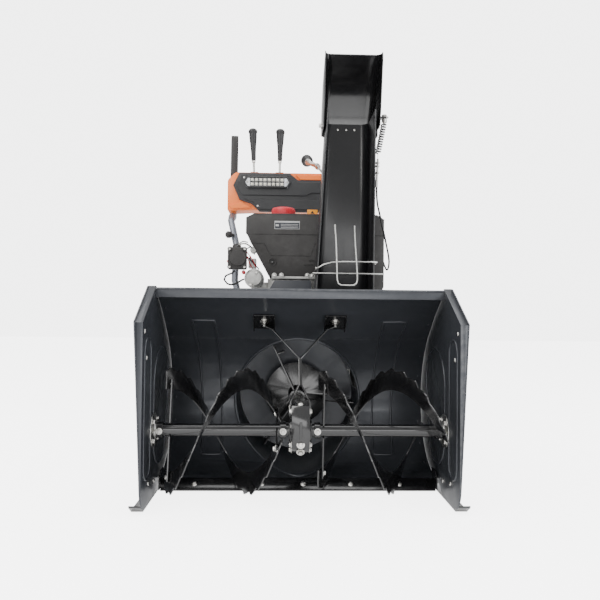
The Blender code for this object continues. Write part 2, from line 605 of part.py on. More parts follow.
def build_engine(root):
    case = box((-0.100, 0.663, DECK_Z + GAP), (0.115, 0.842, 0.602))
    barrel = box((0.110, 0.690, 0.450), (0.195, 0.815, 0.602))
    flange = box((-0.086, 0.608, 0.599), (0.235, 0.842, 0.6085))
    place(root, "engine_block", "cast", union(case, barrel, flange), smooth=False)
    pulley = [(0, 0), (0.040, 0), (0.040, 0.002), (0.0325, 0.004), (0.0325, 0.016),
              (0.040, 0.018), (0.040, 0.021), (0.0325, 0.023), (0.0325, 0.036),
              (0.040, 0.038), (0.040, 0.041), (0, 0.041)]
    wheel = turned(pulley, (0, 0.5985, CRANK_Z), (0, 1, 0), 20)
    stub = rod((0, 0.62, CRANK_Z), (0, 0.6625, CRANK_Z), 0.012, 20)
    place(root, "crank_pulley", "steel", union(wheel, stub), (0, 0.6, CRANK_Z))

    for name, low, z, near, far, half in (
            ("auger_belt", 0.6035, DRUM_Z, 0.0834, 0.0329, 0.0085),
            ("drive_belt", 0.6240, DISC_Z, 0.0454, 0.0329, 0.0100)):
        loops = []
        for extra in (half * 0.9, 0.0):
            lower, upper = near + extra, far + extra
            lean = math.degrees(math.asin((lower - upper) / (CRANK_Z - z)))
            loops.append(arc((0, CRANK_Z), upper, lean, 180 - lean, 14)
                         + arc((0, z), lower, 180 - lean, 360 + lean, 24))
        belt = cut(prism(loops[0], "Y", low, low + half),
                   prism(loops[1], "Y", low - 0.01, low + half + 0.01))
        place(root, name, "rubber", belt)

    disc = [(0, 0), (0.052, 0), (0.052, 0.0015), (0.045, 0.003), (0.045, 0.014),
            (0.052, 0.0155), (0.052, 0.017), (0.012, 0.017), (0.012, 0.046), (0.072, 0.046),
            (0.072, 0.052), (0, 0.052)]
    place(root, "drive_disc", "steel", turned(disc, (0, 0.6205, DISC_Z), (0, 1, 0), 20),
          (0, 0.62, DISC_Z))
    friction_r = 0.045
    at = (0.6205 + 0.052 + friction_r + GAP, DISC_Z)
    tread = [(0.0, 0), (friction_r, 0), (friction_r, 0.014), (0.0, 0.014)]
    wheel = turned(tread, (0.030, *at), (1, 0, 0), 28)
    place(root, "friction_wheel", "rubber", wheel, (0.037, *at))

    top, bottom = SHROUD_TOP, 0.609
    cover = [(-0.093, bottom), (-0.1655, 0.742), (-0.171, 0.750), (-0.171, 0.806),
             (-0.145, top), (0.272, top), (0.296, 0.802), (0.296, 0.574), (0.288, 0.560),
             (0.242, 0.560), (0.238, bottom)]
    outer = prism(rounded_outline(cover, 0.005), "Y", 0.606, 0.850)
    inset = offset_line(cover + [cover[0]], -0.004)[:-1]
    inset[0] = (-0.0865, bottom - 0.01)
    inset[-1:] = [(0.2425, bottom + 0.004), (0.234, bottom - 0.01)]
    place(root, "engine_shroud", "plastic_black",
          cut(outer, prism(inset, "Y", 0.610, 0.846)))
    cap = [(0, 0), (0.0385, 0), (0.0406, 0.003), (0.0406, 0.026), (0.0380, 0.031),
           (0.030, 0.0325), (0, 0.0325)]
    place(root, "fuel_cap", "red", turned(cap, (-0.047, 0.680, top + GAP), (0, 0, 1), 32),
          (-0.047, 0.680, top))
    knob = turned([(0, 0), (0.019, 0), (0.0175, 0.012), (0, 0.012)],
                  (0.054, 0.680, top + GAP), (0, 0, 1), 24)
    grip = box((0.0360, 0.6735, top + 0.008), (0.0720, 0.6865, top + 0.0285))
    place(root, "choke_knob", "amber", union(knob, grip), (0.054, 0.680, top))

    motor = turned([(0, 0), (0.024, 0), (0.031, 0.006), (0.031, 0.100), (0.020, 0.112),
                    (0, 0.112)], (-0.144, 0.580, 0.599), (0, 1, 0), 28)
    arm = box((-0.144, 0.664, 0.560), (-0.1004, 0.684, 0.590))
    place(root, "electric_starter", "cast", union(motor, arm))
    switch = rounded_outline([(-0.2315, 0.628), (-0.1685, 0.628), (-0.1685, 0.702),
                              (-0.2315, 0.702)], 0.006)
    place(root, "starter_switch_box", "plastic_black", prism(switch, "Y", 0.574, 0.6055))
    route = [(-0.2080, 0.588, 0.6240), (-0.2180, 0.587, 0.6150), (-0.2380, 0.586, 0.6060),
             (-0.2430, 0.586, 0.5930), (-0.2330, 0.586, 0.5800), (-0.2150, 0.590, 0.5770),
             (-0.1980, 0.602, 0.5850), (-0.1860, 0.613, 0.5940), (-0.1790, 0.6170, 0.5970)]
    place(root, "starter_cable", "cable", swept(smooth_route(route, 0.012), 0.0032, 2))

    can = rounded_outline([(0.2035, 0.432), (0.275, 0.432), (0.275, 0.552), (0.2035, 0.552)],
                          0.02)
    muffler = prism(can, "Y", 0.680, 0.842)
    port = box((0.1955, 0.730, 0.480), (0.206, 0.780, 0.530))
    place(root, "muffler", "steel", union(muffler, port))
    drum = [(0, 0), (0.098, 0), (0.098, 0.030), (0.080, 0.048), (0.020, 0.052), (0, 0.052)]
    shell = turned(drum, (0, 0.8425 + 0.008, 0.505), (0, 1, 0), 32)
    neck = rod((0, 0.8425, 0.505), (0, 0.86, 0.505), 0.060, 24)
    eye = box((-0.016, 0.880, 0.580), (0.016, 0.905, 0.602))
    place(root, "recoil_starter", "plastic_black", union(shell, neck, eye))
    bar = rounded_outline([(-0.050, 0.0), (0.050, 0.0), (0.042, 0.024), (-0.042, 0.024)], 0.01)
    handle = prism([(x, y + 0.9060) for x, y in bar], "Z", 0.581, 0.601)
    place(root, "recoil_handle", "gloss_black", handle, (0, 0.906, 0.591))


def build_wheels(root):
    axle = rod((-0.332, WHEEL_Y, WHEEL_R), (0.332, WHEEL_Y, WHEEL_R), SHAFT_R, 20)
    gear = rod((0.090, WHEEL_Y, WHEEL_R), (0.100, WHEEL_Y, WHEEL_R), 0.060, 32)
    place(root, "axle", "steel", union(axle, gear), (0, WHEEL_Y, WHEEL_R))
    half = WHEEL_WIDTH / 2
    tread = [(RIM_R + GAP, -0.050), (0.150, -0.060), (0.188, -half), (0.202, -0.052),
             (WHEEL_R, -0.030), (WHEEL_R, 0.030), (0.202, 0.052), (0.188, half),
             (0.150, 0.060), (RIM_R + GAP, 0.050)]
    hub = [(SHAFT_R + GAP, -0.040), (0.030, -0.040), (0.034, -0.012), (0.088, -0.012),
           (0.094, -0.050), (RIM_R, -0.050), (RIM_R, 0.050), (0.094, 0.050), (0.088, -0.006),
           (0.034, -0.006), (0.030, 0.052), (SHAFT_R + GAP, 0.052)]
    for side, word in ((-1, "left"), (1, "right")):
        foot = (side * WHEEL_X, WHEEL_Y, WHEEL_R)
        place(root, f"tyre_{word}", "rubber", turned(tread, foot, (side, 0, 0), 28), foot)
        place(root, f"rim_{word}", "steel", turned(hub, foot, (side, 0, 0), 28), foot)


# ---- handlebars and console -------------------------------------------------------------

def build_handles(root):
    for side, word in ((-1, "left"), (1, "right")):
        low, high = Vector((side * 0.262, 1.195, 0.9300)), Vector((side * 0.270, 1.420, 0.985))
        run = (high - low).normalized()
        route = [(side * 0.1710, 0.930, 0.250), (side * 0.1710, 0.925, 0.400),
                 (side * 0.2320, 0.905, 0.608), (side * 0.2225, 0.920, 0.720),
                 (side * 0.2380, 0.932, 0.785), (side * 0.2525, 0.950, 0.845),
                 (side * 0.2525, 0.985, 0.8700), (side * 0.2540, 1.060, 0.8735),
                 (side * 0.2570, 1.120, 0.8890), low, low + run * 0.040, high - run * 0.006]
        bar = swept(smooth_route(route, 0.055), BAR_R, 2)
        place(root, f"handlebar_{word}", "tube_grey", bar)
        start = low + run * 0.070
        length = (high - start).length
        sleeve = [(BAR_R + GAP, 0), (0.0185, 0), (0.0170, 0.010), (0.0170, length - 0.008),
                  (0.0150, length), (0, length), (0, length - 0.005),
                  (BAR_R + GAP, length - 0.005)]
        place(root, f"grip_{word}", "rubber", turned(sleeve, start, run, 24))
        y, z = CLUTCH_PIVOT
        blade = [(y - 0.010, z - 0.010), (y + 0.010, z - 0.010), (y + 0.012, z + 0.050),
                 (y + 0.030, z + 0.270), (y + 0.022, z + 0.287), (y + 0.012, z + 0.287),
                 (y + 0.006, z + 0.270), (y - 0.010, z + 0.050)]
        lever = prism(blade, "X", side * 0.255 - 0.0145, side * 0.255 + 0.0145)
        place(root, f"clutch_lever_{word}", "plastic_black", lever, (side * 0.255, y, z),
              smooth=False)


def build_console(root):
    front, rear = 0.992, 1.085
    outline = [(-0.272, 1.018), (-0.240, 1.049), (0.240, 1.049), (0.272, 1.018),
               (0.272, 0.893), (0.142, 0.900), (-0.142, 0.900), (-0.272, 0.893)]
    body = prism(rounded_outline(outline, 0.008), "Y", front, rear)
    direction = (CRANK_TIP - ROD_FOOT).normalized()
    tunnel = rod(ROD_FOOT + direction * 0.2, CRANK_TIP, 0.009, 16)
    slots = [box((x - 0.009, 1.000, 0.925), (x + 0.009, 1.079, 1.060))
             for x in (SPEED_X, DEFLECT_X)]
    place(root, "console_body", "orange", cut(body, tunnel, *slots))

    face = [(-0.224, 1.045), (-0.249, 0.994), (-0.224, 0.937), (-0.1745, 0.921),
            (-0.142, 0.889), (0.232, 0.889), (0.262, 0.937), (0.262, 1.000), (0.245, 1.018),
            (0.010, 1.018), (-0.022, 1.045)]
    panel = prism(face, "Y", 0.980, front - GAP)
    tunnel = rod(ROD_FOOT + direction * 0.2, CRANK_TIP, 0.009, 16)
    place(root, "console_fascia", "fascia", cut(panel, tunnel), smooth=False)
    x, z = -0.113, 1.006
    lens = [(x - 0.0945, z), (x - 0.080, z - 0.022), (x + 0.080, z - 0.022), (x + 0.0945, z),
            (x + 0.080, z + 0.022), (x - 0.080, z + 0.022)]
    place(root, "headlight", "lens", prism(lens, "Y", 0.968, 0.980 - GAP), smooth=False)

    y, z = LEVER_PIVOT
    for name, foot_x, top_x in (("speed_lever", SPEED_X, -0.172),
                                ("deflector_lever", DEFLECT_X, -0.063)):
        foot, neck = Vector((foot_x, y, z)), Vector((top_x, y + 0.008, 1.131))
        stem = rod(foot, neck, 0.0045, 12)
        pin = rod((foot_x - 0.0085, y, z), (foot_x + 0.0085, y, z), 0.009, 16)
        place(root, name, "steel", union(stem, pin), foot)
        run = (neck - foot).normalized()
        handle = [(0.0050, 0), (0.009, 0), (0.0125, 0.040), (0.0190, 0.100), (0.0170, 0.122),
                  (0.008, 0.1340), (0, 0.1340), (0, 0.040), (0.0050, 0.040)]
        word = name.split("_")[0]
        place(root, f"{word}_knob", "gloss_black",
              turned(handle, neck - run * 0.020, run, 24), foot)


def build():
    clear_scene()
    root = bpy.data.objects.new("snow_blower", None)
    root.location = (0.0, -(FRONT + REAR) / 2, 0.0)
    bpy.context.scene.collection.objects.link(root)
    build_intake(root)
    build_gear_train(root)
    build_auger(root, -1, "left", 180)
    build_auger(root, 1, "right", 90)
    build_stay(root)
    build_chute(root)
    build_chute_drive(root)
    build_frame(root)
    build_engine(root)
    build_wheels(root)
    build_handles(root)
    build_console(root)


build()
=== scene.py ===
"""Snow blower: looks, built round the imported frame."""
import json
import math

import bmesh
import bpy
from mathutils import Matrix, Vector


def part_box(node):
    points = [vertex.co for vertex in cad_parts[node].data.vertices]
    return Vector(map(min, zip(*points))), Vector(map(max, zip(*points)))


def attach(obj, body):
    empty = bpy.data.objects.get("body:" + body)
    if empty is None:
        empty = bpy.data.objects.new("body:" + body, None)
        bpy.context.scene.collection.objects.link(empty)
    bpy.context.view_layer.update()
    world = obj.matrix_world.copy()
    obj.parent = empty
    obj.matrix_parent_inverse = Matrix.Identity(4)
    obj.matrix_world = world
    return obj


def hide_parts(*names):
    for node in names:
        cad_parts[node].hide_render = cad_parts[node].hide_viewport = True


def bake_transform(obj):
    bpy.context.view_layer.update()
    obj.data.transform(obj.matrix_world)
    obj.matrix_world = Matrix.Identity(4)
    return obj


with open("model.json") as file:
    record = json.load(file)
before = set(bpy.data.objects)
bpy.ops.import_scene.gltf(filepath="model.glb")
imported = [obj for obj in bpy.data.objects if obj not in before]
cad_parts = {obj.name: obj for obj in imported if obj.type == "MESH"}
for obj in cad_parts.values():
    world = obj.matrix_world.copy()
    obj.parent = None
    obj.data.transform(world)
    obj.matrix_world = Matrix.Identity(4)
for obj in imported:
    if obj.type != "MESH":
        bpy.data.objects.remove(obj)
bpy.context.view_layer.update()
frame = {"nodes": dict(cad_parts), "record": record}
nodes = frame["nodes"]

# Machine frame: X as in the frame, Y from the intake's front edge, Z from the ground.
FRONT_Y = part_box("side_plate_left")[0].y
SHIFT = Matrix.Translation((0, FRONT_Y, 0))
HALF_WIDTH = 0.38
AUGER = Vector((0.0, 0.133, 0.182))
DRUM = Vector((0.0, 0.404, 0.223))
CHUTE = Vector((0.143, 0.485, 0.0))
WHEEL_X, WHEEL_Y, WHEEL_R = 0.255, 0.85, 0.205
SHROUD_Y = 0.606
FASCIA_Y = 0.98
LAMP_X, LAMP_Z = -0.113, 1.006
STARTER = Vector((-0.144, 0.58, 0.599))
HINGE_Y, HINGE_Z = 0.5, 1.09
ROD_FOOT, CRANK_TIP = Vector((0.1725, 0.652, 0.872)), Vector((0.095, 1.1, 1.105))
Y, Z = Vector((0, 1, 0)), Vector((0, 0, 1))
AHEAD = (0, -1, 0)
SIDES = ((-1, "left"), (1, "right"))


# ---- materials --------------------------------------------------------------------------

class Nodes:
    """Small helper round one material's node tree."""

    def __init__(self, name):
        self.material = bpy.data.materials.new(name)
        self.material.use_nodes = True
        self.tree = self.material.node_tree
        self.shader = self.tree.nodes["Principled BSDF"]
        coords = self.add("ShaderNodeTexCoord")
        self.place = coords.outputs["Object"]

    def add(self, kind, **values):
        node = self.tree.nodes.new(kind)
        for key, value in values.items():
            setattr(node, key, value)
        return node

    def join(self, source, target):
        self.tree.links.new(source, target)

    def noise(self, scale, detail=4.0, rough=0.6, stretch=None):
        node = self.add("ShaderNodeTexNoise")
        node.inputs["Scale"].default_value = scale
        node.inputs["Detail"].default_value = detail
        node.inputs["Roughness"].default_value = rough
        place = self.place
        if stretch:
            mapping = self.add("ShaderNodeMapping")
            mapping.inputs["Scale"].default_value = stretch
            self.join(place, mapping.inputs["Vector"])
            place = mapping.outputs["Vector"]
        self.join(place, node.inputs["Vector"])
        return node.outputs["Fac"]

    def ramp(self, source, low, high, first, second):
        node = self.add("ShaderNodeMapRange")
        node.inputs["From Min"].default_value = low
        node.inputs["From Max"].default_value = high
        node.inputs["To Min"].default_value = first
        node.inputs["To Max"].default_value = second
        self.join(source, node.inputs["Value"])
        return node.outputs["Result"]

    def mix(self, factor, first, second):
        node = self.add("ShaderNodeMix", data_type="RGBA")
        self.join(factor, node.inputs["Factor"])
        for socket, value in ((node.inputs["A"], first), (node.inputs["B"], second)):
            if isinstance(value, bpy.types.NodeSocket):
                self.join(value, socket)
            else:
                socket.default_value = (*value, 1.0)
        return node.outputs["Result"]

    def bump(self, layers):
        """Stack bumps of (height, strength, distance) and send them to the shader."""
        normal = None
        for height, strength, distance in layers:
            node = self.add("ShaderNodeBump")
            node.inputs["Strength"].default_value = strength
            node.inputs["Distance"].default_value = distance
            self.join(height, node.inputs["Height"])
            if normal:
                self.join(normal, node.inputs["Normal"])
            normal = node.outputs["Normal"]
        self.join(normal, self.shader.inputs["Normal"])

    def edges(self, low=0.56, high=0.66):
        geometry = self.add("ShaderNodeNewGeometry")
        return self.ramp(geometry.outputs["Pointiness"], low, high, 0.0, 1.0)

    def times(self, first, second):
        node = self.add("ShaderNodeMath", operation="MULTIPLY")
        self.join(first, node.inputs[0])
        self.join(second, node.inputs[1])
        return node.outputs["Value"]


def surface(colour, other, rough, metallic=0.0, grain=300.0, grain_height=0.0002,
            grain_strength=0.15, wear=None, wear_amount=0.5, coat=0.0, patch=9.0, dust=0.0,
            stretch=None):
    """Paint, plastic or metal: blotchy colour, fine grain, uneven gloss, worn edges, dust."""
    made = Nodes("surface")
    patches = made.noise(patch, 5.0, 0.62)
    fine = made.noise(grain, 3.0, 0.55, stretch)
    base = made.mix(made.ramp(patches, 0.35, 0.68, 0.0, 1.0), colour, other)
    speck = made.ramp(fine, 0.6, 0.75, 0.0, 0.22)
    base = made.mix(speck, base, tuple(min(1.0, c * 1.5 + 0.004) for c in colour))
    if dust:
        dusty = made.times(made.ramp(made.noise(26.0, 6.0, 0.7), 0.48, 0.72, 0.0, dust),
                           made.ramp(patches, 0.3, 0.6, 0.3, 1.0))
        base = made.mix(dusty, base, (0.3, 0.29, 0.28))
    low, high = rough
    gloss = made.ramp(made.noise(patch * 4.0, 5.0, 0.65), 0.35, 0.68, low, high)
    if wear:
        worn = made.times(made.edges(), made.ramp(made.noise(60.0, 5.0, 0.7), 0.4, 0.6,
                                                  0.0, wear_amount))
        base = made.mix(worn, base, wear)
    made.join(base, made.shader.inputs["Base Color"])
    made.join(gloss, made.shader.inputs["Roughness"])
    made.shader.inputs["Metallic"].default_value = metallic
    made.shader.inputs["Coat Weight"].default_value = coat
    made.shader.inputs["Coat Roughness"].default_value = 0.12
    made.bump([(fine, grain_strength, grain_height),
               (made.noise(patch * 2.2, 3.0, 0.5), 0.12, 0.0015)])
    return made.material


STEEL_EDGE = (0.42, 0.42, 0.41)
MATERIALS = {
    "housing_paint": surface(
        (0.036, 0.039, 0.046), (0.043, 0.047, 0.054), (0.3, 0.4), 0.35, 900.0, 0.0001, 0.15,
        STEEL_EDGE, 0.12, 0.2, 4.0, 0.012),
    "gloss_black": surface(
        (0.0045, 0.0045, 0.005), (0.007, 0.007, 0.0075), (0.14, 0.22), 0.0, 220.0, 0.0001, 0.08,
        STEEL_EDGE, 0.1, 0.6, 10.0, 0.012),
    "steel": surface(
        (0.6, 0.6, 0.58), (0.46, 0.46, 0.44), (0.24, 0.42), 1.0, 500.0, 0.0001, 0.15, patch=30.0),
    "cast": surface(
        (0.52, 0.52, 0.5), (0.4, 0.4, 0.385), (0.42, 0.62), 0.85, 420.0, 0.0004, 0.45,
        patch=22.0),
    "chute_paint": surface(
        (0.0075, 0.0075, 0.009), (0.009, 0.009, 0.0105), (0.28, 0.36), 0.1, 700.0, 0.0001, 0.15,
        STEEL_EDGE, 0.12, 0.2, 5.0, 0.01),
    "plastic_black": surface(
        (0.017, 0.0155, 0.0148), (0.024, 0.022, 0.021), (0.48, 0.62), 0.0, 900.0, 0.0003, 0.4,
        patch=10.0, dust=0.06),
    "knob": surface(
        (0.013, 0.013, 0.014), (0.02, 0.02, 0.021), (0.38, 0.55), 0.0, 800.0, 0.0003, 0.35,
        patch=16.0, dust=0.04),
    "orange": surface(
        (0.92, 0.2, 0.025), (0.84, 0.165, 0.018), (0.34, 0.48), 0.0, 900.0, 0.0002, 0.25,
        patch=9.0),
    "fascia": surface(
        (0.016, 0.0165, 0.018), (0.022, 0.0225, 0.024), (0.42, 0.56), 0.0, 900.0, 0.0003, 0.4,
        patch=12.0),
    "red": surface(
        (0.66, 0.03, 0.045), (0.56, 0.022, 0.035), (0.34, 0.48), 0.0, 800.0, 0.0002, 0.25,
        patch=20.0),
    "amber": surface(
        (0.9, 0.36, 0.015), (0.82, 0.3, 0.012), (0.36, 0.5), 0.0, 800.0, 0.0002, 0.25,
        patch=20.0),
    "tube_grey": surface(
        (0.155, 0.165, 0.19), (0.185, 0.195, 0.22), (0.3, 0.42), 0.5, 700.0, 0.0001, 0.2,
        STEEL_EDGE, 0.3, 0.2, 12.0),
    "rubber": surface(
        (0.014, 0.014, 0.014), (0.022, 0.022, 0.021), (0.68, 0.85), 0.0, 500.0, 0.0004, 0.45,
        patch=16.0, dust=0.12),
    "tyre": surface(
        (0.013, 0.013, 0.013), (0.022, 0.021, 0.02), (0.7, 0.88), 0.0, 400.0, 0.0005, 0.5,
        patch=12.0, dust=0.18),
    "lens": surface(
        (0.8, 0.83, 0.86), (0.7, 0.73, 0.77), (0.08, 0.16), 0.0, 500.0, 0.0001, 0.08, coat=0.8,
        patch=30.0),
    "cable": surface(
        (0.011, 0.011, 0.011), (0.018, 0.018, 0.018), (0.38, 0.52), 0.0, 600.0, 0.0002, 0.25,
        patch=20.0),
    "zinc": surface(
        (0.68, 0.67, 0.64), (0.52, 0.51, 0.48), (0.22, 0.38), 1.0, 600.0, 0.0001, 0.15,
        patch=60.0),
    "label_print": surface(
        (0.52, 0.52, 0.52), (0.42, 0.42, 0.42), (0.3, 0.4), 0.0, 300.0, 0.0001, 0.05, patch=30.0),
    "belt_cover": surface(
        (0.02, 0.023, 0.03), (0.028, 0.031, 0.04), (0.36, 0.5), 0.0, 700.0, 0.0002, 0.25,
        patch=12.0),
    "led": surface(
        (0.93, 0.9, 0.66), (0.88, 0.84, 0.58), (0.15, 0.25), 0.0, 400.0, 0.0001, 0.05, coat=0.6,
        patch=60.0),
}
for look, made in MATERIALS.items():
    made.name = look


def dress(obj, material):
    obj.data.materials.clear()
    obj.data.materials.append(material)


# ---- mesh helpers -----------------------------------------------------------------------

def piece(name, bm, look, bevel=0.0, segments=2, smooth=35.0, body="chassis", slot=None):
    """Turn a bmesh in the machine frame into a piece that rides on a body.
    """
    bmesh.ops.remove_doubles(bm, verts=bm.verts, dist=1e-6)
    bmesh.ops.recalc_face_normals(bm, faces=bm.faces)
    mesh = bpy.data.meshes.new(name)
    bm.to_mesh(mesh)
    bm.free()
    mesh.transform(SHIFT)
    mesh.shade_smooth()
    mesh.set_sharp_from_angle(angle=math.radians(smooth))
    obj = bpy.data.objects.new(name, mesh)
    bpy.context.scene.collection.objects.link(obj)
    if bevel:
        soften(obj, bevel, segments)
    dress(obj, MATERIALS[look])
    if body:
        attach(obj, body)
    return obj


def swept_piece(name, lines, radius, sides, look, **placing):
    """Piece made only of round bars of one radius, one along each line."""
    bm = bmesh.new()
    for line in lines:
        add_swept(bm, line, radius, sides)
    return piece(name, bm, look, smooth=60, **placing)


def soften(obj, width, segments=2):
    modifier = obj.modifiers.new("round_edges", "BEVEL")
    modifier.width = width
    modifier.segments = segments
    modifier.limit_method = "ANGLE"
    modifier.angle_limit = math.radians(38)
    modifier.harden_normals = True
    modifier.use_clamp_overlap = True


def add_box(bm, low, high, matrix=None):
    low, high = Vector(low), Vector(high)
    made = bmesh.ops.create_cube(bm, size=1.0)["verts"]
    size = Matrix.Diagonal((*(high - low), 1.0))
    move = Matrix.Translation((low + high) / 2) @ size
    bmesh.ops.transform(bm, matrix=(matrix @ move) if matrix else move, verts=made)
    return made


def along(foot, direction):
    return Matrix.Translation(Vector(foot)) @ (
        Vector(direction).to_track_quat("Z", "Y").to_matrix().to_4x4())


def add_turned(bm, profile, foot, direction, steps=32):
    """Spin a profile of (radius, distance along); a profile that ends off the axis loops."""
    made = []
    rings = []
    for radius, height in profile:
        if radius < 1e-9:
            rings.append([bm.verts.new((0, 0, height))])
            continue
        ring = []
        for i in range(steps):
            angle = math.tau * i / steps
            ring.append(bm.verts.new((radius * math.cos(angle), radius * math.sin(angle),
                                      height)))
        rings.append(ring)
    loop = profile[0][0] > 1e-9 and profile[-1][0] > 1e-9
    pairs = list(zip(rings, rings[1:])) + ([(rings[-1], rings[0])] if loop else [])
    for lower, upper in pairs:
        for i in range(steps):
            j = (i + 1) % steps
            corners = [lower[i % len(lower)], lower[j % len(lower)], upper[j % len(upper)],
                       upper[i % len(upper)]]
            unique = list(dict.fromkeys(corners))
            if len(unique) > 2:
                bm.faces.new(unique)
    for ring in rings:
        made += ring
    bmesh.ops.transform(bm, matrix=along(foot, direction), verts=made)
    return made


def add_ring(bm, inner, outer, height, foot, direction, steps=32, start=0.0):
    """Plain sleeve, or a disc where inner is 0, from start to start + height."""
    add_turned(bm, [(inner, start), (outer, start), (outer, start + height),
                    (inner, start + height)], foot, direction, steps)


def add_prism(bm, outline, axis, low, high, matrix=None):
    """Extrude a 2-D outline; axis is the direction that it is extruded along."""
    order = {"X": lambda a, b, c: (c, a, b), "Y": lambda a, b, c: (a, c, b),
             "Z": lambda a, b, c: (a, b, c)}[axis]
    lower = [bm.verts.new(order(a, b, low)) for a, b in outline]
    upper = [bm.verts.new(order(a, b, high)) for a, b in outline]
    bm.faces.new(lower)
    bm.faces.new(upper)
    for i in range(len(outline)):
        j = (i + 1) % len(outline)
        bm.faces.new((lower[i], lower[j], upper[j], upper[i]))
    if matrix:
        bmesh.ops.transform(bm, matrix=matrix, verts=lower + upper)
    return lower + upper


def add_swept(bm, points, radius, sides=12, closed=False):
    """Round bar along points, its frame carried without twist."""
    points = [Vector(p) for p in points]
    count = len(points)
    up = None
    rings = []
    for i, here in enumerate(points):
        before = points[(i - 1) % count] if closed or i else here
        after = points[(i + 1) % count] if closed or i < count - 1 else here
        run = (after - before).normalized()
        if up is None:
            up = run.orthogonal().normalized()
        up = (up - run * up.dot(run)).normalized()
        other = run.cross(up)
        rings.append([bm.verts.new(here + (up * math.cos(math.tau * k / sides)
                                           + other * math.sin(math.tau * k / sides)) * radius)
                      for k in range(sides)])
    pairs = list(zip(rings, rings[1:])) + ([(rings[-1], rings[0])] if closed else [])
    for lower, upper in pairs:
        for k in range(sides):
            j = (k + 1) % sides
            bm.faces.new((lower[k], lower[j], upper[j], upper[k]))
    if not closed:
        bm.faces.new(rings[0])
        bm.faces.new(rings[-1])


def route(points, step=0.006):
    knots = [Vector(p) for p in points]
    knots = [2 * knots[0] - knots[1]] + knots + [2 * knots[-1] - knots[-2]]
    result = []
    for a, b, c, d in zip(knots, knots[1:], knots[2:], knots[3:]):
        pieces = max(1, round((c - b).length / step))
        for i in range(pieces):
            t = i / pieces
            result.append(0.5 * (2 * b + (c - a) * t + (2 * a - 5 * b + 4 * c - d) * t * t
                                 + (3 * b - a - 3 * c + d) * t ** 3))
    return result + [knots[-2]]


def arc(centre, radius, start, end, steps):
    angles = [math.radians(start + (end - start) * i / steps) for i in range(steps + 1)]
    return [(centre[0] + radius * math.cos(a), centre[1] + radius * math.sin(a))
            for a in angles]


def add_hex_bolt(bm, foot, direction, size=0.013, height=0.006, washer=True):
    """Hexagon head with a chamfered top on a washer; size is across the flats."""
    made = []
    if washer:
        made += add_turned(bm, [(0, 0), (size * 0.95, 0), (size * 0.95, 0.0014),
                                (0, 0.0014)], (0, 0, 0), Z, 24)
    base = 0.0014 if washer else 0.0
    corner = size / 2 / math.cos(math.pi / 6)
    made += add_turned(bm, [(0, base), (corner, base), (corner, base + height * 0.8),
                            (corner * 0.86, base + height), (0, base + height)],
                       (0, 0, 0), Z, 6)
    bmesh.ops.transform(bm, matrix=along(foot, direction), verts=made)


def add_dome_bolt(bm, foot, direction, radius=0.0085, height=0.0045):
    profile = [(0, 0), (radius, 0)]
    profile += [(radius * math.cos(a), 0.0008 + height * math.sin(a))
                for a in [math.radians(15 * i) for i in range(6)]]
    add_turned(bm, profile + [(0, 0.0008 + height)], foot, direction, 20)


def add_pan_screw(bm, foot, direction, radius=0.0045):
    """Pan head with a cross recess made of a raised rim and a sunk centre."""
    add_turned(bm, [(0, 0), (radius, 0), (radius, radius * 0.35), (radius * 0.8, radius * 0.6),
                    (radius * 0.42, radius * 0.66), (radius * 0.34, radius * 0.25),
                    (0, radius * 0.22)], foot, direction, 16)


# ---- camera, light and floor ------------------------------------------------------------

